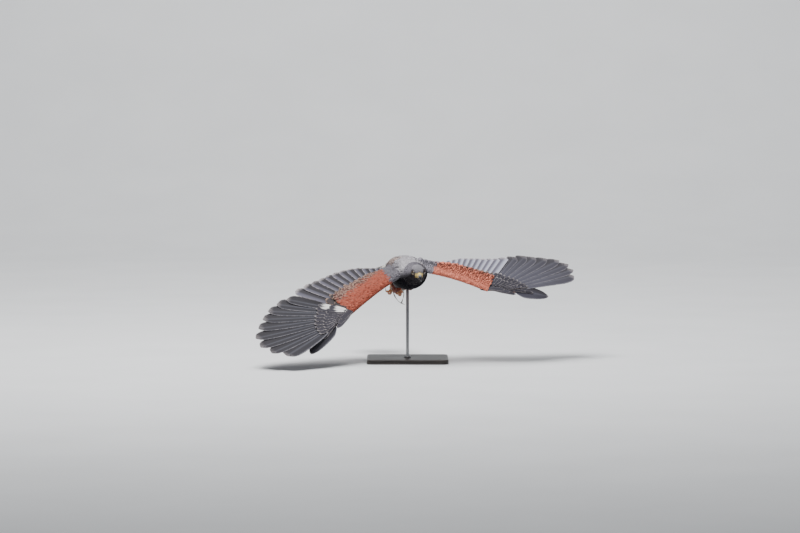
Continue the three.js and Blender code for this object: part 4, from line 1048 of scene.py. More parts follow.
def greater_tints(side, i, white):
    """Slate brown, with white on the numbered feathers at the inner hand of the right wing.
    Each number comes with the shares of the length between which the feather is white."""
    if side == "right" and i in white:
        return vane_tints(white_spot(*white[i]), plain(SPOT_UNDER), FRINGE, 0.3)
    if i < PRIMARIES:
        return covert_tints(COVERT_HAND, COVERT_UNDER, FRINGE, 0.9)
    return covert_tints(COVERT_DARK, COVERT_UNDER, FRINGE_BUFF, 0.9)


def under_tints(side, i, white):
    """Reddish below the arm, slate below the hand, the same on both wings."""
    below = UNDER_BELOW if i >= PRIMARIES else SLATE_UNDER
    return covert_tints(UNDER_TOP, below, FRINGE_BUFF, 0.4)


def covert_reach(side, i):
    """How far a greater covert ends from its flight feather's root, by its number."""
    if i >= PRIMARIES:
        return mix(104, 84, nearness(i))
    return mix(86, 112, i / (PRIMARIES - 1)) if side == "left" else 106


def covert_row(name, plan, share, low, high, tints, white, widely=1.0):
    """A row over all the feather lines, reaching a share of what greater coverts do."""
    count = PRIMARIES + SECONDARIES
    vanes = []
    for i, cell in enumerate(cells(count)):
        start = mix(5, -SECONDARY_SUNK, nearness(i))
        end = share * covert_reach(plan.side, i) * chance.uniform(0.96, 1.04)
        line = covert_line(plan, i, start, end, low, high, widely)
        vanes.append(vane(line, tints(plan.side, i, white), cell))
    return coat_mesh(f"{name}_coverts_{plan.side}", vanes)


print("greater coverts end on the left, mm:", [covert_reach("left", i) for i in (0, PRIMARIES)])


# %% The alula, and all the rows
ALULA = {
    "right": SimpleNamespace(lengths=[112, 90, 66], spread=-17, wide=15),
    "left": SimpleNamespace(lengths=[98, 80, 60], spread=-19, wide=15),
}


def alula_mesh(plan):
    """Three short feathers, one on another, along the front edge of the hand."""
    axis, chord, up = plan.hand
    shape, share = ALULA[plan.side], np.linspace(0, 1, 20)
    row = between(COVERT_OUTLINE, share) * shape.wide
    vanes = []
    for k, (length, cell) in enumerate(zip(shape.lengths, cells(3))):
        along = swing(axis, chord, np.radians(4 * k + shape.spread))
        distance = share * length
        lift = lift_from(distance, 0, 66, 0.2, 4.2) + CLEARANCE * k
        middle = plan.wrist + axis * 4 - chord + along * distance[:, None] + up * lift[:, None]
        line = SimpleNamespace(
            middle=middle, across=0 * middle - squared(chord, along), face=up + 0 * middle,
            share=share, run=length, leading=row[:, 1], trailing=row[:, 2],
        )
        vanes.append(vane(line, covert_tints(COVERT_HAND, SLATE_UNDER, FRINGE, 0.5), cell))
    return coat_mesh(f"alula_{plan.side}", vanes)


for side, plan in plans.items():
    for mesh in (
        covert_row("greater", plan, 1.0, 1.4, 3.0, greater_tints, GREATER_WHITE),
        covert_row("median", plan, 0.7, 2.4, 4.6, greater_tints, MEDIAN_WHITE, 1.15),
        covert_row("under", plan, 0.85, -1.5, -3.2, under_tints, {}),
        alula_mesh(plan),
    ):
        new_piece(mesh, flight_vanes)

# %% [markdown]
# ## Small feathers as shingles
# Body feathers lie like shingles: rooted in rows, each over the roots of the next. They
# could be copied by a modifier, but then none would follow the curve below it. Here each
# feather's sections are worked out on the surface itself, a little farther along each time,
# and raised by a growing height, so all of them bend with the body.

# %% Directions on a surface
TUFT_STATIONS = np.array([0, 0.25, 0.5, 0.72, 0.9, 1.0])
TUFT_WIDTHS = np.array([0.28, 0.85, 1.0, 0.92, 0.55, 0.12])
TUFT_CORNERS = np.array([1.0, 0.0, -1.0, 0.0])
TUFT_THICKNESS = 0.14
TUFT_FACES = 4 * (len(TUFT_STATIONS) - 1) + 2
LEAN, SAG = 0.11, 0.03


def slopes(surface, p, q, step=0.01):
    """How fast the surface runs with each of its two numbers, by small differences."""
    here = surface(p, q)
    return here, (surface(p + step, q) - here) / step, (surface(p, q + step) - here) / step


def outward(surface, p, q, inside):
    """The surface's upright directions, away from the point or points inside."""
    here, by_p, by_q = slopes(surface, p, q)
    normal = unit(np.cross(by_p, by_q))
    return here, normal * np.sign((normal * (here - inside)).sum(-1, keepdims=True))


def beside(surface, p, q, here, across, reach):
    """The surface's points to one side. The steps in its two numbers solve across = a times
    one slope + b times the other. Where the surface ends, the flat offset is kept."""
    _, by_p, by_q = slopes(surface, p, q)
    pp, pq, qq = (by_p * by_p).sum(-1), (by_p * by_q).sum(-1), (by_q * by_q).sum(-1)
    ap, aq = (across * by_p).sum(-1), (across * by_q).sum(-1)
    area = np.maximum(pp * qq - pq * pq, 1e-6)
    far = reach[..., 0]
    flat = here + across * reach
    bent = surface(p + far * (qq * ap - pq * aq) / area, q + far * (pp * aq - pq * ap) / area)
    off = np.linalg.norm(bent - flat, axis=-1, keepdims=True)
    return np.where(off < 0.8 * np.abs(reach), bent, flat)


def scattered(p_range, q_range, p_step, q_step, jitter=0.27):
    """Places in staggered rows over two ranges, each moved a little by chance, and with them
    their spots on OFBake."""
    ps, qs = np.arange(*p_range, p_step), np.arange(*q_range, q_step)
    p, q = np.meshgrid(ps, qs, indexing="ij")
    q = q + (np.arange(len(ps)) % 2)[:, None] * q_step / 2
    p = p + chance.uniform(-jitter, jitter, p.shape) * p_step
    q = q + chance.uniform(-jitter, jitter, q.shape) * q_step
    share = np.stack([(p - p_range[0]) / np.ptp(p_range), (q - q_range[0]) / np.ptp(q_range)], -1)
    return p.ravel(), q.ravel(), np.clip(0.02 + 0.96 * share.reshape(-1, 2), 0.01, 0.99)


print("faces of one small feather:", TUFT_FACES)


# %% Shingles
def tuft_quads(count):
    """Faces of many small feathers, each a tube of diamonds with both its ends closed."""
    rows, ring = len(TUFT_STATIONS), np.arange(4)
    one = np.vstack([ring_quads(rows, 4)[:, ::-1], ring, ring[::-1] + (rows - 1) * 4])
    return (one + (np.arange(count) * rows * 4)[:, None, None]).reshape(-1, 4)


def shingles(name, surface, spots, flow, length, width, heights, tint, fringe, inside):
    """Feathers rooted at the spots. Each of their sections is a flat diamond on the surface
    point reached by following the flow, raised from the first height to the second. The
    flow gives the run along the surface as millimetres by the two numbers."""
    p, q, patches = spots
    flow = [np.broadcast_to(step, len(p)) for step in flow]
    _, by_p, by_q = slopes(surface, p, q)
    run = by_p * flow[0][:, None] + by_q * flow[1][:, None]
    scale = length / np.maximum(np.linalg.norm(run, axis=-1), 1e-6)
    share = TUFT_STATIONS[None, :]
    ps, qs = (start[:, None] + (step * scale)[:, None] * share for start, step in zip((p, q), flow))
    here, normal = outward(surface, ps, qs, inside)
    along = unit(np.gradient(here, axis=1))
    across = unit(np.cross(normal, along))
    rise = mix(*heights, np.sin(share * np.pi / 2)) * chance.uniform(0.92, 1.14, (len(p), 1))
    sway = chance.normal(0, 0.06, (len(p), 1)) * length[:, None] * share**2
    centre = here + normal * rise[..., None] + across * sway[..., None]
    half = (width[:, None] / 2 * TUFT_WIDTHS)[..., None]
    thick = normal * (TUFT_THICKNESS * (1 - 0.6 * share))[..., None]
    left, right = (
        beside(surface, ps, qs, here, across, way * half) + (centre - here)
        - normal * (SAG + way * LEAN) * half
        for way in (1, -1)
    )
    ring = np.stack([left, centre + thick, right, centre - thick], 2)
    column = np.broadcast_to(TUFT_CORNERS, ring.shape[:3])
    share = np.broadcast_to(share[..., None], column.shape)
    tag = np.broadcast_to(chance.random((len(p), 1, 1)), column.shape)
    values = {
        "vane": np.stack([column, share, np.ones_like(column)], -1),
        "barb": np.stack([column * half, share * length[:, None, None], tag], -1),
        "tint": opaque(np.clip(tint[:, None, None] * (1 + 0.4 * (tag[..., None] - 0.5)), 0, 1)),
        "fringe": np.broadcast_to(fringe[:, None, None], (*column.shape, 4)),
    }
    patch = patches[:, None, None] + 0.0015 * np.stack([column, 2 * share - 1], -1)
    quads = tuft_quads(len(p))
    bake = np.clip(patch.reshape(-1, 2)[quads.ravel()], 0, 1)
    return new_mesh(name, ring, quads, values, bake)


print("faces of two small feathers:", len(tuft_quads(2)))

# %% [markdown]
# ## Chestnut shoulders
# The arm's flesh has a section like an aerofoil, and small feathers cover it in rows to past
# the greater coverts' roots. The surface they lie on is the aerofoil's upper face, which
# runs on as the plane of the vanes. They slant outward, and their pale edges make the
# shoulder look scaly. The hand has the same rows in dark slate, slanting much more.

# %% Sections and surfaces of the wing
ARM_NOSE, HAND_NOSE = 16, 7
BACK_THINNING = 0.72


def arm_section(plan, t, back=48):
    """Where the arm's section stands at a share of its run, its directions and its sizes."""
    a = WING[plan.side]
    reach = ARM_LENGTH[plan.side] * mix(*ARM_CORE, t)
    _, chord, up = wing_frame(plan.out, a.sweep, a.droop, mix(ARM_INNER_TWIST, a.twist, t))
    return SimpleNamespace(
        place=plan.shoulder + plan.arm[0] * reach[..., None], chord=chord, up=up,
        front=mix(26, 5, t), back=mix(back, 30, t), thick=mix(17, 7.5, t), drop=mix(4, 1, t),
        rise=ARM_FRONT_RISE * np.sin(np.pi * np.clip(t, 0, 1)),
    )


def hand_section(plan, t, back=30):
    """The same for the hand, whose front edge curves back toward its tip."""
    axis, chord, up = plan.hand
    return SimpleNamespace(
        place=plan.wrist + axis * mix(*HAND_CORE, t)[..., None], chord=chord, up=up,
        front=mix(5, 3 + HAND_CURVE, t * t), back=mix(back, 13, t), thick=mix(7.5, 3.5, t),
        drop=mix(1, 0.3, t), rise=0,
    )


WING_PARTS = {
    "arm": (arm_section, ARM_NOSE, (5.2, -4.4)), "hand": (hand_section, HAND_NOSE, (4.6, -4.0)),
}


def aerofoil(x, at, upper, plane):
    """Thickness times the sine of the angle at that place of the chord, thinner to the back,
    less a drop and plus a rise at the front. Behind the front edge, where the plane of the
    vanes is farther out, the surface eases into it."""
    place = np.clip((x + at.front) / (at.front + at.back), 0, 1)
    depth = at.thick * np.sin(np.arccos(1 - 2 * place)) * (1 - BACK_THINNING * place)
    sign = np.where(upper, 1, -1)
    flesh = sign * depth - at.drop + at.rise * (1 - place)
    plane = plane - sign * 30 * (1 - ease((x + 6) / 22))
    return (flesh + plane + sign * np.sqrt((flesh - plane) ** 2 + 3)) / 2


def chord_place(s, front, nose):
    """Distance round the blunt front edge turned into a place on the chord: the square of the
    distance over itself plus the nose, so it starts slowly and then runs evenly."""
    return s * s / (np.abs(s) + nose) - front


def round_edge(x, front, nose):
    """The distance round the front edge that belongs to a place on the chord."""
    return (x + front + np.sqrt((x + front) * (x + front + 4 * nose))) / 2


def wing_surface(part, plan, upper):
    """The upper or under face of a part as a surface of two numbers: a share of the part's
    run, and millimetres round from its front edge."""
    section, nose, planes = WING_PARTS[part]

    def surface(t, s):
        at = section(plan, t)
        x = chord_place(s, at.front, nose)
        above = (s >= 0) == upper
        high = aerofoil(x, at, above, np.where(above, *planes))
        return at.place + at.chord * x[..., None] + at.up * high[..., None]
    return surface


middle = wing_surface("arm", plans["left"], True)(np.array([0.5]), np.array([40.0]))
print("a place on the left shoulder, mm:", in_room(middle[0]).round(0))

# %% Rows of small feathers on arm and hand
COVERT_BACK = {
    "left": [[0, 12], [0.1, 17], [0.2, 28], [0.5, 58], [1.05, 60]],
    "right": [[0, 34], [0.2, 40], [0.4, 56], [1.05, 60]],
}
CHESTNUT_FROM, CHESTNUT_TO = 0.225, {"left": 0.985, "right": 1.03}
# Painted light: the left wing's upper coverts and mantle feathers are painted lighter and paler,
# the right's darker, as the light falls on each.
CHESTNUT_PAINTED_LIGHT = {"left": 1.42, "right": 0.93}
CHESTNUT_PALENESS_PAINTED_LIGHT = {"left": 0.6, "right": 0.2}
MANTLE_PAINTED_LIGHT = {"left": 1.6, "right": 0.8}
SCALY_FROM = {"left": 54, "right": 36}
FLESH_MIDDLE = 26


def wing_coat(part, plan, upper, spots, *looks):
    """Shingles on one face of a part, upright from the middle between its two faces. That
    middle isn't taken nearer the front edge than 26 mm."""
    faces = [wing_surface(part, plan, which) for which in (upper, not upper)]
    deep = np.maximum(spots[1], FLESH_MIDDLE)
    inside = (faces[0](spots[0], deep) + faces[1](spots[0], deep)) / 2
    name = f"{part}_coverts_{'upper' if upper else 'under'}_{plan.side}"
    return shingles(name, faces[0], spots, *looks, inside[:, None])


def arm_coverts(plan, upper):
    """Rows of small feathers on the arm: tiny round the front edge, long at the rear."""
    side, steps = plan.side, (0.024, 0.055) if upper else (0.034, 0.08)
    run = ARM_LENGTH[side] * np.ptp(ARM_CORE)
    t, share, patches = scattered((0.0, 1.03), (0, 1), *steps)
    inner = ease((CHESTNUT_FROM - t + chance.normal(0, 0.012, len(t))) / 0.03)
    slant = np.radians(mix(62, mix(12, 32, t), ease(share * 2.5)) + chance.normal(0, 4, len(t)))
    keep = t + mix(11, 30, share) * np.sin(slant) / run < CHESTNUT_TO[side]
    t, share, patches, inner, slant = (v[keep] for v in (t, share, patches, inner, slant))
    front = arm_section(plan, t).front
    rear = round_edge(between(COVERT_BACK[side], t)[:, 1], front, ARM_NOSE)
    s = mix(-10 if upper else 1, rear, share)
    # Painted light: paler and lighter above on the left, darker on the right; below, only the
    # per-feather paleness.
    pale = CHESTNUT_PALENESS_PAINTED_LIGHT[side] * chance.uniform(0.6, 1.4, (len(t), 1))
    tint = mix(CHESTNUT, CHESTNUT_PALE, pale) * (CHESTNUT_PAINTED_LIGHT[side] if upper else 1)
    back = chord_place(s, front, ARM_NOSE) - SCALY_FROM[side]
    scaly = ease((back + chance.normal(0, 4, len(t))) / 12)
    tint = mix(tint, COVERT_DARK, (scaly * (0.85 if upper else 0.2))[:, None])
    # The inner feathers take the mantle grey, with the side's painted light above, and are darkened
    # to 0.3 below as painted shade.
    tint = mix(tint, MANTLE * (MANTLE_PAINTED_LIGHT[side] if upper else 0.3), inner[:, None])
    fringe = mix(FRINGE_BUFF, FRINGE, inner[:, None])
    return wing_coat(
        "arm", plan, upper, (t, s, patches), (np.sin(slant) / run, np.cos(slant)),
        mix(11, 30, share), mix(7.5, 17, share), (-0.8, 1.5 if upper else 1.0), tint,
        np.column_stack([fringe, mix(0.2 + 0.8 * scaly, 0.25, inner)]),
    )


def hand_coverts(plan, upper):
    """Small feathers over the front of the hand, slanting outward."""
    t, share, patches = scattered((0.02, 0.95), (0, 1), 0.06, 0.13)
    rear = round_edge(mix(14, 3, t), hand_section(plan, t).front, HAND_NOSE)
    s = mix(-7 if upper else 1, rear, share)
    slant = np.radians(mix(8, 26, share * (1 - 0.5 * t)) + chance.normal(0, 3, len(t)))
    return wing_coat(
        "hand", plan, upper, (t, s, patches), (np.cos(slant) / np.ptp(HAND_CORE), np.sin(slant)),
        mix(13, 24, share), mix(7, 12, share), (-0.6, 1.2),
        colours(len(t), COVERT_HAND if upper else CHESTNUT * 0.8), fringed(len(t), FRINGE, 0.5),
    )


for side, plan in plans.items():
    for upper in (True, False):
        arm, hand = arm_coverts(plan, upper), hand_coverts(plan, upper)
        new_piece(arm, chestnut_feathers)
        new_piece(hand, flight_vanes)
        counts = [len(mesh.polygons) // TUFT_FACES for mesh in (arm, hand)]
        print(side, "above" if upper else "below", "feathers on arm and hand:", counts)

# %% [markdown]
# ## The tail
# Twelve broad feathers make a fan, the middle pair on top. A harris hawk shows white at the
# fan's root and in a band at its tip, with slate black between. Two rows of white coverts
# lie over the root and one row below it.

# %% The fan's lines
TAIL_ROOT = np.array([0.0, 122.0, 8.0])
TAIL_LENGTH, QUILLS_SUNK, QUILL_GAP = 236, 12, 2.3
TAIL_TURN, TAIL_DROOP = np.radians([8, 12])
TAIL_SPREAD = 13
TAIL_PLACES = [0.5, 1.5, 2.5, 3.5, 4.5, 5.5]
TAIL_OUTLINE = [[0, 2.4, 2.4], [0.3, 9, 14], [0.6, 11, 18], [0.92, 12, 18], [1, 5, 7]]
TAIL_BACK = swing(swing(-FORWARD, -SIDE, TAIL_TURN), -UP, TAIL_DROOP)
TAIL_SIDE = squared(SIDE, TAIL_BACK)
TAIL_UP = np.cross(TAIL_SIDE, TAIL_BACK)


def both_sides(places):
    """The fan's places to the left of the middle line, then those to the right."""
    return [way * place for way in (1, -1) for place in places]


def tail_line(place, distance, rise=0.0, flat=False, widely=1.0):
    """A feather's line in the fan: the outer feathers lie lower, each under the next inward."""
    step = np.radians(TAIL_SPREAD / TAIL_PLACES[-1])
    along = swing(TAIL_BACK, TAIL_SIDE, step * place)
    above = TAIL_UP * (-1 if rise < 0 else 1)
    spacing = (QUILL_GAP + distance * np.sin(step)) * widely
    lift = lift_from(distance, 0, TAIL_LENGTH / 3, abs(rise) / 2, abs(rise))
    root = TAIL_ROOT + TAIL_BACK * QUILLS_SUNK + TAIL_SIDE * QUILL_GAP * place
    middle = root + along * distance[:, None] - TAIL_UP * 0.13 * place**2 + above * lift[:, None]
    ways = tilted(squared(TAIL_SIDE, along) * np.sign(place), above, spacing, flat)
    return SimpleNamespace(middle=middle, spacing=spacing, **ways)


print("tail spread, degrees each side:", TAIL_SPREAD)


# %% Tail feathers and their coverts
def tail_top(column, along):
    """White root, slate black, white band at the tip, a little irregular across."""
    wave = 0.008 * np.sin(9 * column)
    white = ease((along + wave - 0.905) / 0.02) + ease((0.3 - along + wave) / 0.08)
    return mix(DARK * 1.3, WHITE, np.clip(white, 0, 1)[..., None])


TAIL_TINTS = vane_tints(tail_top, tail_top, WHITE, 0.1, 0.08)
TAIL_COVERT_TINTS = covert_tints(WHITE, WHITE * 0.9, FRINGE_WARM, 0.25)


def tail_vane(place, cell):
    """One feather of the fan. One of the middle pair lies flat on top of all the others."""
    on_top = place == TAIL_PLACES[0]
    shorter = 1 - 0.05 * (abs(place) / TAIL_PLACES[-1]) ** 2
    length = (TAIL_LENGTH - QUILLS_SUNK) * shorter * chance.uniform(0.99, 1.01)
    distance = length * np.sin(np.linspace(0, 1, 46) * np.pi / 2) ** 1.1
    line = tail_line(place, distance, rise=1.9 if on_top else 0.0, flat=on_top)
    line.share, line.run = distance / length, length
    share = np.clip((distance - QUILL_LENGTH) / (length - QUILL_LENGTH), 0, 1)
    row = between(TAIL_OUTLINE, share)
    under = 1.5 if on_top else min(abs(place) - 0.1, 3)
    line.leading = np.minimum(row[:, 1], 1.2 * line.spacing)
    line.trailing = np.minimum(row[:, 2], under * line.spacing)
    return vane(line, TAIL_TINTS, cell, FLIGHT_CAMBER)


def tail_covert(place, cell, length, rise, widely, first):
    """A white covert. Those next to the middle line are narrower on their inner side."""
    share = np.linspace(0, 1, 18)
    distance = 2 + (length * chance.uniform(0.95, 1.05) - 2) * share
    line = tail_line(place, distance, rise=rise, widely=widely)
    line.share, line.run = share, length
    row = between(COVERT_OUTLINE, share)
    wide = np.minimum(line.spacing, 12 * widely)
    line.leading = row[:, 1] * wide
    line.trailing = row[:, 2] * wide * (0.6 if abs(place) == first else 1.0)
    return vane(line, TAIL_COVERT_TINTS, cell, TAIL_COVERT_CAMBER)


TAIL_COVERTS = {  # places in the fan, length, rise over the fan, width
    "upper": ([0.75, 2.25, 3.75, 5.1], 92, 4.6, 1.5),
    "short": ([0.5, 1.5, 2.5, 3.5, 4.5], 66, 6.2, 1.3),
    "below": ([0.8, 2.4, 4.2], 84, -5.4, 1.6),
}
places = both_sides(TAIL_PLACES)
fan = coat_mesh("tail_feathers", [tail_vane(*spot) for spot in zip(places, cells(len(places)))])
new_piece(fan, flight_vanes, ["tail"])
for name, (half, *shape) in TAIL_COVERTS.items():
    places = both_sides(half)
    row = [tail_covert(*spot, *shape, half[0]) for spot in zip(places, cells(len(places)))]
    new_piece(coat_mesh(f"tail_coverts_{name}", row), white_feathers)
    print("tail coverts", name, len(row))

# %% [markdown]
# ## One skin under the coat
# Skin shows only at the face, but it must close every gap that feathers leave. Trunk, neck,
# skull, brows, thighs, tail root and wing flesh are closed forms that cross one another. The
# Remesh modifier fuses them into one surface without seams, and a little smoothing rounds
# the folds between them. The skin is chestnut, white or dark where its feathers are.

# %% Forms of flesh
BROW = [[-1, 9.5, 1.2], [-8, 11.4, 2.4], [-15, 11.2, 2.9], [-21, 9.4, 2.4], [-26, 6.8, 1.2]]
LIP_SUNK = 1.2
TAIL_FLESH = [  # share of the run, place along the tail, half width, half height
    (0, -22, 15, 11), (0.45, 10, 17, 9), (0.8, 34, 21, 5), (1, 50, 19, 1.6),
]


def wing_flesh(at, angle, inset):
    """Rings of the aerofoil's whole section along arm or hand."""
    place = (1 - np.cos(angle)) / 2
    x = mix(-at.front + inset, at.back - inset, place)
    depth = (at.thick - inset) * np.sin(angle) * (1 - BACK_THINNING * place)
    high = depth - at.drop + at.rise * (1 - place)
    return at.place + at.chord * x[..., None] + at.up * high[..., None]


def skull_run(side, table, rows=24, around=12):
    """A round run sunk a little in the skull's side, through rows of place, height and
    radius. The skull's half width at a height is that of its oval."""
    y, angle = grid((table[0][0], table[-1][0]), rows, around)
    row, skull = between(table, y), between(SKULL, y)
    level = (2 * row[..., 1] - skull[..., 1] - skull[..., 2]) / (skull[..., 1] - skull[..., 2])
    x = SIGN[side] * (skull[..., 3] * np.sqrt(np.maximum(1 - level**2, 0)) - LIP_SUNK)
    middle = np.stack([x, y, row[..., 1]], -1)
    axis = unit(np.gradient(middle, axis=0))
    across, r = unit(np.cross(axis, UP + 0 * axis)), row[..., 2]
    return head_in_bird(middle + oval(across, np.cross(across, axis), angle, r, r))


def ball(middle, radius, rows=14, around=20):
    """Rings from pole to pole, with tiny rings in place of the poles."""
    t, angle = grid((0.03, 0.97), rows, around)
    r, up = radius * np.sin(np.pi * t), -radius * np.cos(np.pi * t)
    return middle + np.stack([r * np.cos(angle), r * np.sin(angle), up], -1)


def flesh_forms():
    """The rings of every form of flesh, a coat's depth inside the solids."""
    tail = [[share, *(TAIL_ROOT + TAIL_BACK * far), *size] for share, far, *size in TAIL_FLESH]
    forms = [
        egg(TORSO, -BODY_COAT)(*grid((-96, 118), 40, 40)),
        limb(NECK, -NECK_COAT)(*grid((0, 1), 16, 32)),
        head_in_bird(egg(SKULL, -HEAD_COAT)(*grid((-28, 29), 34, 36))),
        limb(tail)(*grid((0, 1), 14, 24)),
    ]
    for side, plan in plans.items():
        (arm_t, arm_angle), (hand_t, hand_angle) = grid((0, 1), 26, 24), grid((0, 0.97), 16, 20)
        forms += [
            limb(thigh_rows(side), -THIGH_COAT)(*grid((0, 1), 14, 24)),
            wing_flesh(arm_section(plan, arm_t, back=36), arm_angle, 1.5),
            wing_flesh(hand_section(plan, hand_t), hand_angle, 1.0),
            skull_run(side, BROW),
        ]
    return forms


print("forms of flesh:", len(flesh_forms()))

# %% Fused into a skin
EYE = np.array([13.6, -13.5, 3.2])
EYE_RADIUS = 7.9
GAZE = unit(np.array([0.88, -0.46, 0.04]))
BARE_RING = 8.3


def fused(name, forms, voxel, smooth):
    """Closed forms as one skin: remeshed in small cubes, then smoothed."""
    starts = np.cumsum([0] + [rings.size // 3 for rings in forms])
    quads = [closed_quads(*rings.shape[:2]) + start for rings, start in zip(forms, starts)]
    points = np.vstack([rings.reshape(-1, 3) for rings in forms])
    whole = facing_out(new_mesh(name + "_forms", points, np.vstack(quads)))
    obj = bpy.data.objects.new(whole.name, whole)
    bpy.context.scene.collection.objects.link(obj)
    remesh = obj.modifiers.new("fuse", "REMESH")
    remesh.mode, remesh.voxel_size = "VOXEL", voxel * MM
    relax = obj.modifiers.new("relax", "SMOOTH")
    relax.factor, relax.iterations = 0.5, smooth
    graph = bpy.context.evaluated_depsgraph_get()
    made = bpy.data.meshes.new_from_object(obj.evaluated_get(graph))
    made.name = name
    bpy.data.objects.remove(obj)
    bpy.data.meshes.remove(whole)
    made.shade_smooth()
    return made


def lores(points):
    """One on the bare skin between the eye and the bill."""
    y, z = points[..., 1], points[..., 2]
    return ease((-19.5 - y) / 2.5) * ease((6.5 - np.abs(z + 1.5)) / 2.5)


def bare_face(points):
    """One where no feathers grow: the lores, and a ring round the eye."""
    mirror = np.where(points[..., :1] < 0, [-1, 1, 1], [1, 1, 1])
    off, gaze = points - EYE * mirror, GAZE * mirror
    ahead = (off * gaze).sum(-1, keepdims=True)
    radial = np.linalg.norm(off - gaze * ahead, axis=-1)
    ring = ease((BARE_RING - radial) / 0.8) * (ahead[..., 0] > 0)
    return np.clip(np.maximum(lores(points), ring), 0, 1)


def skin_colour(points):
    """Dark, chestnut on the wings, slate past the wrists, white behind, yellow at the lores."""
    out = np.abs(points[:, 0])
    wrist = np.where(points[:, 0] > 0, plans["left"].wrist[0], -plans["right"].wrist[0])
    near_head = np.linalg.norm(points - HEAD_MIDDLE, axis=1) < 45
    colour = colours(len(points), DARK)
    for other, share in (
        (CHESTNUT * 0.6, ease((out - 66) / 10)), (COVERT_HAND, ease((out - wrist + 4) / 6)),
        (WHITE, ease((points[:, 1] - 104) / 14)), (YELLOW_SKIN, lores(in_head(points)) * near_head),
    ):
        colour = mix(colour, other, share[:, None])
    return colour


skin = fused("skin", flesh_forms(), 2.0, 6)
set_values(skin, {"tint": opaque(skin_colour(in_bird(points_of(skin) / MM)))})
new_piece(skin, bare_skin, ["torso", "neck", "head", "thigh_right", "thigh_left"])
print("skin faces:", len(skin.polygons))

# %% [markdown]
# ## The body's feathers
# Feathers point to the tail everywhere, small on the breast's front and longer to the rear.
# The back's slate bloom is painted light, as lit from above, and the breast's near black is painted
# shade. The scapulars are the long shoulder feathers that close the gap between back and wing.

# %% Colour of the body, and the neck's surface
NECK_AND_BACK = [
    [-0.6, 0, -50, 4, 46, 44], [0, 0, -84, 8, 40, 37], [0.3, -0.8, -100, 10.4, 38, 34],
    [0.5, -2, -112, 12.4, 33, 31], *NECK[3:],
]
NECK_INSIDE = np.array([-4, -118, 14])
WHOLE_TURN = (0, 2 * np.pi)


def body_colour(angle, y):
    """Painted top light: slate on the back, browner on its right side; painted shade: black below;
    white at the very rear.
    """
    back = mix(BACK_PAINTED_LIGHT, BACK_WARM, (ease(-np.cos(angle) * 2) * (y > -40))[:, None])
    # Lighter toward the top by the sine of the angle: painted top light.
    colour = mix(BREAST_PAINTED_SHADE, back, ease(np.sin(angle) + 0.15)[:, None])
    return mix(colour, WHITE, ease((y - 104) / 12)[:, None])


def over_trunk(points):
    """Points inside the trunk moved straight out from its middle line to its surface."""
    row = between(TORSO, points[..., 1])
    middle = (row[..., 1] + row[..., 2]) / 2
    high = (row[..., 1] - row[..., 2]) / 2 - BODY_COAT
    x, z = points[..., 0], points[..., 2] - middle
    reach = np.hypot(x / (row[..., 3] - BODY_COAT), z / high)
    out = np.where(points[..., 1] > -100, np.maximum(1 / np.maximum(reach, 0.2), 1), 1)
    return np.stack([x * out, points[..., 1], middle + z * out], -1)


def neck_surface(share, angle):
    """The neck's ovals, which run on over the trunk's surface."""
    return over_trunk(limb(NECK_AND_BACK, -NECK_COAT)(share, angle))


print("back, light fractions:", body_colour(np.array([np.pi / 2]), np.array([0.0]))[0].round(3))


# %% Trunk, neck, scapulars and thighs
def trunk_feathers():
    """Small in front, longer to the rear, all pointing to the tail."""
    y, angle, patches = scattered((-97, 116), WHOLE_TURN, 5.0, 0.105)
    long = mix(20, 33, ease((y + 100) / 150))
    return shingles(
        "trunk_feathers", egg(TORSO, -BODY_COAT), (y, angle, patches),
        (1, chance.normal(0, 0.0012, len(y))), long, 0.5 * long, (-1.2, 3.2),
        body_colour(angle, y), fringed(len(y), FRINGE, 0.4 * ease(np.sin(angle))), np.zeros(3),
    )


def scapulars(side):
    """Rows of long feathers over the shoulder, pointing back and a little outward."""
    y, share, patches = scattered((-74, 40), (0, 1), 7.5, 0.13, 0.25)
    angle = np.pi / 2 - SIGN[side] * np.radians(mix(16, 62, share))
    long = mix(30, 46, ease((y + 66) / 90))
    # Toward the wing, the mantle grey with the side's painted light.
    tint = mix(body_colour(angle, y), MANTLE * MANTLE_PAINTED_LIGHT[side], share[:, None])
    return shingles(
        f"scapulars_{side}", egg(TORSO, -BODY_COAT), (y, angle, patches),
        (1, -SIGN[side] * 0.0035), long, 0.4 * long, (0.6, 4.6), tint,
        fringed(len(y), FRINGE, 0.35), np.zeros(3),
    )


def neck_feathers(name, shares, steps, lengths):
    """A part of the neck's coat, its feathers pointing back and shortening to the head."""
    share, angle, patches = scattered(shares, WHOLE_TURN, *steps)
    long = mix(*lengths, (share - shares[0]) / (shares[1] - shares[0]))
    # Painted light: mantle grey toward the top of the neck, painted-shade black below.
    return shingles(
        name, neck_surface, (share, angle, patches),
        (-1 / 70, chance.normal(0, 0.001, len(share))), long, 0.55 * long,
        (-0.8, 0.08 * lengths[0]), mix(BREAST_PAINTED_SHADE, MANTLE, ease((np.sin(angle) + 0.35) / 0.9)[:, None]),
        fringed(len(share), FRINGE, 0.2), NECK_INSIDE,
    )


def thigh_feathers(side):
    """The trousers: chestnut feathers all round the thigh, pointing to the hock."""
    share, angle, patches = scattered((0.22, 0.94), WHOLE_TURN, 0.07, 0.24)
    rows, long = thigh_rows(side), mix(24, 15, share)
    # The chestnut is darkened to 0.45 as painted shade under the body.
    return shingles(
        f"thigh_feathers_{side}", limb(rows, -THIGH_COAT), (share, angle, patches), (1 / 60, 0),
        long, 0.5 * long, (-0.8, 2.2), colours(len(share), CHESTNUT) * 0.45,
        fringed(len(share), FRINGE_BUFF, 0.3), np.mean([row[1:4] for row in rows], 0),
    )


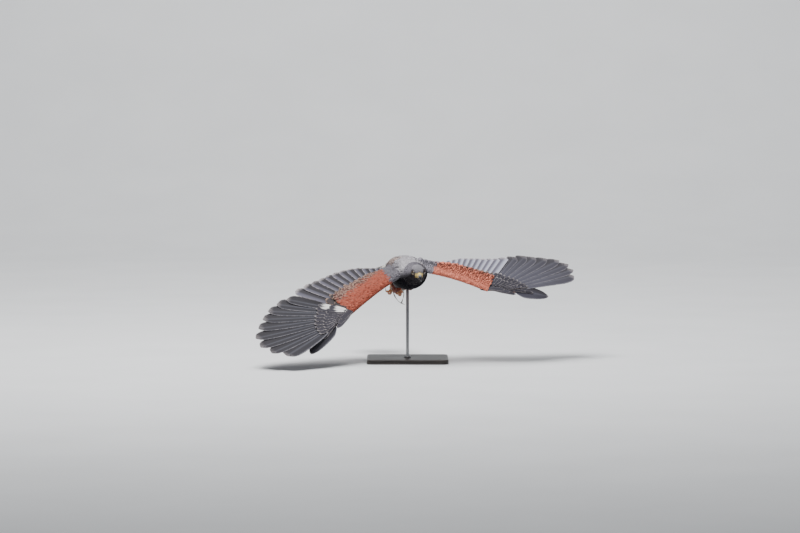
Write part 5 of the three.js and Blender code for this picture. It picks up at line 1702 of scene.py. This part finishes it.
for mesh in (
    trunk_feathers(), neck_feathers("neck_feathers", (0.16, 0.62), (0.05, 0.11), (22, 13)),
    neck_feathers("nape_feathers", (0.6, 0.985), (0.027, 0.075), (12, 6.5)),
):
    new_piece(mesh, dark_feathers)
for side in plans:
    new_piece(scapulars(side), dark_feathers)
    new_piece(thigh_feathers(side), chestnut_feathers)

# %% [markdown]
# ## Head feathers
# On the head feathers are short and close, four to nine millimetres, tight over the skull.
# They stop at the bare lores and at the lids, which leaves the hawk its sharp look.

# %% Feathers of the head
def browed(points):
    """The skull's points with a ridge over the eye, as high as the brow table runs."""
    y, z = points[..., 1], points[..., 2]
    off = (z - between(BROW, y)[..., 1]) / 2.6
    swell = 2.4 * np.exp(-(off**2)) * ease((y + 29) / 4) * ease((1 - y) / 4)
    return points + np.stack([np.sign(points[..., 0]) * swell, 0 * swell, 0.3 * swell], -1)


def head_surface(y, angle):
    """The skull with its brows, less the depth of the head's coat, in the bird's frame."""
    return head_in_bird(browed(egg(SKULL, -HEAD_COAT)(y, angle)))


def head_feathers():
    """Tiny over the bill and the brows, longer to the nape, none on the bare face."""
    y, angle, patches = scattered((-28, 28), WHOLE_TURN, 1.35, 0.08)
    keep = bare_face(egg(SKULL, -HEAD_COAT)(y, angle)) < 0.5
    y, angle, patches = y[keep], angle[keep], patches[keep]
    long = mix(3.2, 9, ease((y + 27) / 50))
    # Painted top light: lighter toward the crown, painted-shade dark under the head.
    crown = ease((np.sin(angle) + 0.12) / 1.1)[:, None]
    return shingles(
        "head_feathers", head_surface, (y, angle, patches),
        (1, chance.normal(0, 0.004, len(y))), long, 0.5 * long, (-0.5, 1.2),
        mix(BREAST_PAINTED_SHADE * 1.5, (MANTLE + BACK_PAINTED_LIGHT) / 2, crown), fringed(len(y), FRINGE, 0.15), HEAD_MIDDLE,
    )


head = new_piece(head_feathers(), dark_feathers)
print("head feathers:", len(head.data.polygons) // TUFT_FACES)

# %% [markdown]
# ## Eyes and lids
# The eye is a wet ball, dark brown with a black pupil, set deep below a bony brow. Its lids
# are a rounded ring that leaves a round opening. Both are turned about the gaze.

# %% Eyes and lids
LID_PROFILE = np.array([  # distance from the gaze, and how far out along it
    [8.9, 1.0], [8.6, 3.2], [7.8, 4.8], [7.0, 5.8], [6.3, 6.3], [5.8, 6.3], [5.6, 5.9],
    [5.9, 5.0], [6.8, 3.8], [7.8, 1.4],
])
LID_YELLOW = np.array([0, 0, 0, 0, 0.1, 0.8, 0.9, 0, 0, 0])[:, None]


def about_gaze(side, r, angle, out):
    """Rings about the gaze of one eye: their radius, and how far out along it they lie."""
    mirror = np.array([SIGN[side], 1, 1])
    gaze = GAZE * mirror
    x = squared(UP, gaze)
    rings = oval(x, np.cross(gaze, x), angle, r, r) + gaze * out[..., None]
    return head_in_bird(rings + EYE * mirror)


def eye_mesh(side):
    """A ball of rings about the gaze. Its tint holds how far a point lies off the pupil's
    middle, and the sine and cosine of its angle, for the iris."""
    t, angle = grid((0.002, 0.998), 40, 48)
    r, out = np.sin(np.pi * t), np.cos(np.pi * t)
    bulge = EYE_RADIUS + 0.5 * np.exp(-((r / 0.45) ** 2)) * (out > 0)
    rings = about_gaze(side, r * bulge, angle, out * bulge)
    tint = [np.where(out > 0, r, 1.0), 0.5 + 0.5 * np.sin(angle), 0.5 + 0.5 * np.cos(angle)]
    return shell(f"eyeball_{side}", rings, np.stack(tint, -1))


def lid_mesh(side):
    """The lid's section turned about the gaze, its upper edge pressed down. Only the lip next
    to the eye is yellow."""
    angle = (np.arange(64) * 2 * np.pi / 64)[:, None]
    r = LID_PROFILE[:, 0] * (1 - 0.24 * ease(np.cos(angle - 0.3)))
    rings = about_gaze(side, r, angle, LID_PROFILE[:, 1])
    return shell(f"lids_{side}", rings, mix(DARK * 0.8, YELLOW_SKIN * 0.8, LID_YELLOW), hoop=True)


for side in ("left", "right"):
    new_piece(eye_mesh(side), wet_eye, [f"eye_{side}"])
    new_piece(lid_mesh(side), bare_skin)
print("eye opening, mm:", 2 * LID_PROFILE[:, 0].min())

# %% [markdown]
# ## The bill
# The cere is the soft yellow root of the bill, with the nostrils in it. The horn beyond it
# hooks down to a black point, over a shorter lower bill. The gape is the yellow lip that runs
# back below the eye. All but the lip are ovals along a line, narrowed to a ridge on top.

# %% Bill, cere, nostrils and gape
CERE = [  # share of the run, middle, half width, half height
    [0, 0, -22, 0, 9.4, 7.2], [0.35, 0, -29.7, -0.5, 8.6, 7.3], [0.6, 0, -33.5, -0.6, 8.2, 7.6],
    [0.85, 0, -38.3, -1.6, 7.3, 7.2], [1, 0, -39.6, -2, 6.0, 6.0],
]
BILL = [
    [0, 0, -36, -1, 6.4, 6.3], [0.16, 0, -39.5, -2, 6.3, 6.25], [0.34, 0, -43.5, -3.2, 5.3, 5.9],
    [0.6, 0, -49, -6.2, 3.8, 4.6], [0.82, 0, -52.3, -10.6, 2.4, 2.8],
    [1, 0, -52.6, -15.2, 0.35, 0.4],
]
LOWER_BILL = [
    [0, 0, -22, -9.0, 8.2, 2.8], [0.4, 0, -29.7, -9.8, 7.4, 2.4], [0.75, 0, -38, -10.2, 5.4, 2.1],
    [1, 0, -45, -10.6, 2.2, 0.9],
]
NOSTRIL = np.array([-35.4, 1.2])
GAPE = [[-33, -8.4, 0.3], [-29, -8, 1.0], [-24, -8.3, 1.0], [-19.5, -9, 0.8], [-16.5, -9.8, 0.2]]


def horn_ring(rows, steps, around, ridge):
    """The limb's ovals, narrowed toward the top so that the bill has a ridge."""
    t, angle = grid((0, 1), steps, around)
    rings = limb(rows)(t, angle)
    rings[..., 0] *= 1 - ridge * ease(np.sin(angle))
    return t, rings


def cere_mesh():
    """The soft root of the bill, pressed in at the nostrils, whose dents are painted dark as the
    shade of their openings.
    """
    _, rings = horn_ring(CERE, 60, 72, 0.1)
    off = (rings[..., 1:] - NOSTRIL) * [1, 1.5]
    dent = (np.exp(-(off**2).sum(-1) / 1.7) * (np.abs(rings[..., 0]) > 3))[..., None]
    rings = rings * (1 - 0.3 * dent * [1, 0, 0])
    return shell("cere", head_in_bird(rings), mix(YELLOW_SKIN, NOSTRIL_PAINTED_SHADE, ease(dent * 2 - 0.7)))


def horn_mesh(part, rows, darkens):
    """A horn part, its tint running from its light root to its dark tip."""
    t, rings = horn_ring(rows, 44, 36, 0.22)
    return shell(f"bill_{part}_horn", head_in_bird(rings), ease((t - 0.12) / darkens)[..., None])


new_piece(cere_mesh(), bare_skin)
for part, rows, darkens in (("upper", BILL, 0.45), ("lower", LOWER_BILL, 0.7)):
    new_piece(horn_mesh(part, rows, darkens), bill_horn, [f"bill_{part}"])
for side in ("left", "right"):
    lip = shell(f"gape_{side}", skull_run(side, GAPE, 24, 14), YELLOW_SKIN)
    new_piece(lip, bare_skin)
reach, drop = np.abs(np.subtract(BILL[-1][2:4], CERE[-1][2:4]))
print("bill's tip ahead of the cere and below it, mm:", reach.round(1), drop.round(1))

# %% [markdown]
# ## Legs and claws
# A hawk's leg is a bare scaled shank with three toes forward and one back, each with a long
# hooked claw. Shank and toes are limbs whose upper sides carry a ridge for each large scale.
# They are fused like the skin, in finer cubes. Claws stay apart, since they are horn.

# %% Lines and rings of a foot
SHANK_RADIUS = 4.2
HEEL_RADIUS = 6.6
SCALE_HEIGHT = 0.5
TOES = {  # turn from the middle, length, first and last curl in degrees, half width, claw
    "inner": (-26, 29, 0, 80, 4.2, 22), "middle": (0, 40, -5, 75, 4.4, 19),
    "outer": (26, 31, 0, 85, 3.8, 17), "hind": (180, 20, 30, 85, 4.4, 24),
}


def curled(base, ahead, curl_to, first, last, length, steps):
    """A line whose direction turns evenly from the first angle to the last."""
    t = (np.arange(steps) + 0.5) / steps
    angle = np.radians(mix(first, last, t))[:, None]
    stride = swing(ahead, curl_to, angle) * length / steps
    return base + np.vstack([np.zeros(3), np.cumsum(stride, 0)])


def run_rings(line, radius, side, around, ridges=0, up=UP):
    """Rings along a line. On the side that faces up, a ridge rises for each scale."""
    axis = unit(np.gradient(line, axis=0))
    across = squared(side + 0 * axis, axis)
    angle = np.arange(around) * 2 * np.pi / around
    way = oval(across[:, None], np.cross(axis, across)[:, None], angle)
    saw = 1 - (np.linspace(0, 1, len(line))[:, None] * ridges) % 1
    scale = SCALE_HEIGHT * saw * ease((way * up).sum(-1) * 1.4) if ridges else 0 * angle
    return line[:, None] + way * (radius[:, None] + scale)[..., None]


def shank_rings(side):
    """The bare shank, thicker at both ends, with scales down its front."""
    hock, ankle = leg_joint(side, "hock"), leg_joint(side, "ankle")
    t = np.linspace(-0.02, 1.04, 120)
    ends = 1.0 * np.exp(-((t / 0.12) ** 2)) + 0.8 * np.exp(-(((t - 1) / 0.1) ** 2))
    front = squared(toe_frame(side)[0], unit(ankle - hock))
    return run_rings(mix(hock, ankle, t[:, None]), SHANK_RADIUS + ends, SIDE, 28, 22, front)


def toe_frame(side):
    """The foot's ways ahead, to the sole and across, as it hangs in flight."""
    ahead = unit(np.array([0.08 * SIGN[side], 0.35, -0.93]))
    sole = squared(np.array([0, 0.93, 0.35]), ahead)
    return ahead, sole, np.cross(ahead, sole)


def toe_and_claw(side, base, turn, length, first, last, wide, claw_length):
    """Rings of one toe with its pads and scales, and of its claw."""
    ahead, sole, across = toe_frame(side)
    way = swing(ahead, across, np.radians(turn) * SIGN[side])
    flank = np.cross(way, sole)
    line = curled(base + way * 2, way, sole, first, last, length, 70)
    share = np.linspace(0, 1, len(line))
    pads = 1 + 0.1 * np.cos(share * length / 10 * 2 * np.pi)
    toe = run_rings(line, mix(wide, wide - 1, share) * pads, flank, 24, length // 3, -sole)
    claw = curled(line[-1], way, sole, last - 5, last + 80, claw_length, 28)
    thin = mix(wide - 1.7, 0.3, np.linspace(0, 1, len(claw)) ** 0.8)
    return toe, run_rings(claw, thin, flank, 18)


print("toes of a foot:", list(TOES))

# %% Shanks, toes and claws
for side in plans:
    hock, ankle = leg_joint(side, "hock"), leg_joint(side, "ankle")
    base = ankle + unit(ankle - hock) * 3
    parts = {name: toe_and_claw(side, base, *sizes) for name, sizes in TOES.items()}
    forms = [shank_rings(side), ball(base, HEEL_RADIUS), *(toe for toe, _ in parts.values())]
    leg = fused(f"leg_skin_{side}", forms, 0.6, 2)
    new_piece(leg, scaled_legs, [f"shank_{side}", f"foot_{side}"])
    for name, (_, rings) in parts.items():
        dark = ease(np.linspace(-0.2, 1, len(rings)))[:, None, None]
        horn = shell(f"claw_horn_{side}_{name}", rings, dark)
        new_piece(horn, claw_horn, [f"claw_{side}_{name}"])
    print(side, "leg faces:", len(leg.polygons))

# %% [markdown]
# ## Anklets and jesses
# A trained hawk wears a leather band on each shank, with a short flat strap through it. The
# band is a turned section with rounded edges. The strap is a thin section swept along the
# line it hangs in, with its edges rounded and its end cut to a point.

# %% Leather on the legs
ANKLET = (0.6, 0.78)
BAND_THICKNESS, BAND_GAP = 1.4, 0.3
JESS_HALF_WIDTH, JESS_HALF_THICKNESS = 3.6, 0.7
JESS_LINES = {
    "right": [[-16, 104, -68], [-16, 105, -82], [-12, 105, -96], [-4, 103, -111], [11, 99, -124]],
    "left": [[18, 102, -76], [17, 103, -90], [14, 105, -101], [9, 108, -112], [4, 111, -121]],
}


def section(around, flat, round_off):
    """A squared-off oval: the cosine and the sine round it, each raised to a power less than
    one with its sign kept."""
    turn = np.arange(around) * 2 * np.pi / around
    waves = (np.cos(turn), flat), (np.sin(turn), round_off)
    return [np.sign(wave) * np.abs(wave) ** power for wave, power in waves]


def anklet_mesh(side):
    """The band's section turned about the shank: a closed ring with rounded lips."""
    hock, ankle = leg_joint(side, "hock"), leg_joint(side, "ankle")
    axis = unit(ankle - hock)
    across = squared(SIDE, axis)
    half = np.linalg.norm(ankle - hock) * np.ptp(ANKLET) / 2
    lip, wall = section(20, 0.4, 0.7)
    r = SHANK_RADIUS + BAND_GAP + BAND_THICKNESS / 2 * (1 + wall)
    way = oval(across, np.cross(axis, across), np.arange(48) * 2 * np.pi / 48)
    middle = mix(hock, ankle, sum(ANKLET) / 2)
    rings = middle + axis * (lip * half)[:, None, None] + way * r[:, None, None]
    return shell(f"anklet_leather_{side}", rings, hoop=True)


def jess_mesh(side):
    """A flat strap along a smooth line through the points it hangs by."""
    places, t = np.array(JESS_LINES[side], float), np.linspace(0, 1, 60)
    line = between(np.column_stack([np.linspace(0, 1, len(places)), places]), t)[:, 1:]
    axis = unit(np.gradient(line, axis=0))
    flat = squared(np.array([0.3, 1, 0]) + 0 * axis, axis)
    face, twist = np.cross(axis, flat), np.radians(25 * np.sin(t * 5))[:, None]
    wide, thin = swing(flat, face, twist)[:, None], swing(face, -flat, twist)[:, None]
    u, v = (wave[:, None] for wave in section(16, 0.35, 0.8))
    half = JESS_HALF_WIDTH * (1 - 0.75 * ease((t - 0.88) / 0.12))[:, None, None]
    rings = line[:, None] + wide * u * half + thin * v * JESS_HALF_THICKNESS
    return shell(f"jess_leather_{side}", rings)


for side in plans:
    new_piece(anklet_mesh(side), worn_leather, [f"anklet_{side}"])
    new_piece(jess_mesh(side), worn_leather, [f"jess_{side}"])

# %% [markdown]
# ## The stand
# The stand is plain: a lacquered wooden base and a brushed steel rod that goes up into the
# breast. The photo doesn't show it, since the bird flies. The base is a rounded slab with a
# softened upper edge, as a profile carried round a rounded rectangle.

# %% Base and rod
BASE_HALF = np.array([130.0, 110.0])
BASE_CORNER = 18
BASE_PROFILE = [  # outward from the edge, and height
    [-60, 0], [-3, 0], [0, 0.6], [0, 10.5], [-0.7, 12.5], [-2.2, 13.7], [-4, 14], [-40, 14],
    [-100, 14],
]
ROD_PROFILE = [  # height and radius
    [6, 5], [14.2, 5], [14.2, 11], [15.5, 11.6], [17, 11], [18.2, 8], [18.6, 5.2], [20, 5],
    [263, 5], [264, 4.4],
]


def circle(count, start=0.0):
    """Points of a unit circle."""
    angle = start + np.arange(count) * 2 * np.pi / count
    return np.stack([np.cos(angle), np.sin(angle)], -1)


def base_mesh():
    """Rounded rectangles of the profile's inset and height, closed above and below."""
    way, rings = circle(96, np.pi / 96), []
    for inset, height in BASE_PROFILE:
        corner = max(BASE_CORNER + inset, 1)
        flat = np.sign(way) * np.maximum(BASE_HALF + inset - corner, 1) + way * corner
        rings.append(np.column_stack([flat, np.full(len(flat), height)]))
    return shell("base_board", in_bird(np.array(rings)))


def rod_mesh():
    """A straight rod with a low turned collar where it leaves the base."""
    way = circle(48)
    rings = [np.column_stack([r * way, np.full(len(way), z)]) for z, r in ROD_PROFILE]
    return shell("rod_steel", in_bird(np.array(rings)))


def wood_recipe(tree):
    """Dark lacquer over wood whose grain shows a little in colour, gloss and relief."""
    grain = noise(tree, 3.0, 8.0, coordinates(tree, (4.0, 60.0, 60.0)))
    colour = ramp(tree, grain, [(0.35, (0.018, 0.015, 0.014)), (0.65, (0.05, 0.042, 0.038))])
    return {
        "Base Color": colour, "Roughness": scaled(tree, grain, 0.2, 0.22),
        "Normal": bump(tree, grain, 0.0002, 0.3),
    }


def steel_recipe(tree):
    """Brushed steel: fine lines round the rod in its gloss and relief."""
    lines = noise(tree, 1.0, 3.0, coordinates(tree, (20.0, 20.0, 3000.0)))
    return {
        "Base Color": ramp(tree, lines, [(0.3, (0.4, 0.4, 0.41)), (0.7, (0.56, 0.56, 0.57))]),
        "Roughness": scaled(tree, lines, 0.15, 0.24), "Metallic": 1.0,
        "Normal": bump(tree, lines, 0.00005, 0.4),
    }


wood, steel = material("lacquered_wood", wood_recipe), material("brushed_rod", steel_recipe)
base = new_piece(base_mesh(), wood, ["stand_base"])
rod = new_piece(rod_mesh(), steel, ["stand_rod"])
for obj, degrees in ((base, 30), (rod, 35)):
    obj.data.set_sharp_from_angle(angle=np.radians(degrees))
print("base, mm:", 2 * BASE_HALF, BASE_PROFILE[-1][1])

# %% [markdown]
# ## Floor and light
# A plain pale floor sweeps up behind the bird. One large soft light from above and a little
# ahead makes the back bright and the breast dark, as an overcast sky does. A second one is
# turned away from the bird and lights the sweep, and a dim even world fills the shade.

# %% Stage
FLOOR_REACH = 30.0
SWEEP_START, SWEEP_RADIUS, SWEEP_ANGLE = 5.0, 3.0, np.radians(56)
WORLD_COLOUR, WORLD_STRENGTH = (0.75, 0.8, 0.86, 1), 0.235


def floor_recipe(tree):
    """Pale grey, nearly matte, with a faint unevenness."""
    cloud = noise(tree, 3.0, 4.0)
    colour = ramp(tree, cloud, [(0.3, (0.8, 0.81, 0.82)), (0.7, (0.84, 0.85, 0.86))])
    return {"Base Color": colour, "Roughness": 0.8}


def sweep_mesh():
    """A floor that curves up behind as part of a circle, low enough to look over from there."""
    angle = np.linspace(0, SWEEP_ANGLE, 24)
    run = np.concatenate([[-FLOOR_REACH], SWEEP_START + SWEEP_RADIUS * np.sin(angle)])
    rise = np.concatenate([[0], SWEEP_RADIUS * (1 - np.cos(angle))])
    x, y = np.meshgrid([-FLOOR_REACH, FLOOR_REACH], run)
    points = np.stack([x, y, np.tile(rise[:, None], 2)], -1)
    quads = np.arange(len(run) - 1)[:, None] * 2 + [0, 1, 3, 2]
    mesh = bpy.data.meshes.new("floor")
    mesh.from_pydata(points.reshape(-1, 3), [], quads.tolist())
    mesh.shade_smooth()
    return mesh


def placed(name, data):
    """An object of the stage, linked to the scene."""
    obj = bpy.data.objects.new(name, data)
    bpy.context.scene.collection.objects.link(obj)
    return obj


def looking(place, aim):
    """The turn of a lamp or a camera at a place that looks toward a point."""
    return (Vector(aim) - Vector(place)).to_track_quat("-Z", "Y").to_euler()


def soft_light(name, place, aim, size, power):
    """A square area light turned toward a point."""
    lamp = bpy.data.lights.new(name, "AREA")
    lamp.size, lamp.energy = size, power
    obj = placed(name, lamp)
    obj.location, obj.rotation_euler = place, looking(place, aim)


floor = placed("floor", sweep_mesh())
floor.data.materials.append(material("pale_floor", floor_recipe))
soft_light("sky", (-0.7, -0.5, 3.7), (0, 0, 0.25), 2.0, 222)
soft_light("backdrop", (0, 3.5, 6.5), (0, 7.5, 1.5), 5.0, 470)
world = bpy.data.worlds.new("soft room")
world.use_nodes = True
feed(world.node_tree, world.node_tree.nodes["Background"], {0: WORLD_COLOUR, 1: WORLD_STRENGTH})
bpy.context.scene.world = world

# %% [markdown]
# ## The camera
# The photo was taken from far off and only a little above the bird. A long lens at twelve
# metres gives the same flat view, and its focal length follows from the scale of the photo,
# so that a pixel of an 800-pixel picture is 3.2 mm at the bird.

# %% Camera at the photo's angle and framing
DISTANCE = 12.0
ELEVATION = np.radians(4.0)
MM_PER_PIXEL, PHOTO_WIDTH, SENSOR_WIDTH = 3.2, 800, 36
BODY_OFF_CENTRE = np.array([5.0, 5.5])
right_shift, down_shift = BODY_OFF_CENTRE * MM_PER_PIXEL * MM
target = Vector(BODY_PLACE * MM) + Vector((-right_shift, 0, down_shift / np.cos(ELEVATION)))
camera = placed("camera", bpy.data.cameras.new("camera"))
camera.location = target + Vector((0, -np.cos(ELEVATION), np.sin(ELEVATION))) * DISTANCE
camera.rotation_euler = looking(camera.location, target)
camera.data.sensor_width = SENSOR_WIDTH
camera.data.lens = SENSOR_WIDTH * DISTANCE / (PHOTO_WIDTH * MM_PER_PIXEL * MM)
camera.data.clip_end = 100
bpy.context.scene.camera = camera
print("lens, mm:", round(camera.data.lens, 2))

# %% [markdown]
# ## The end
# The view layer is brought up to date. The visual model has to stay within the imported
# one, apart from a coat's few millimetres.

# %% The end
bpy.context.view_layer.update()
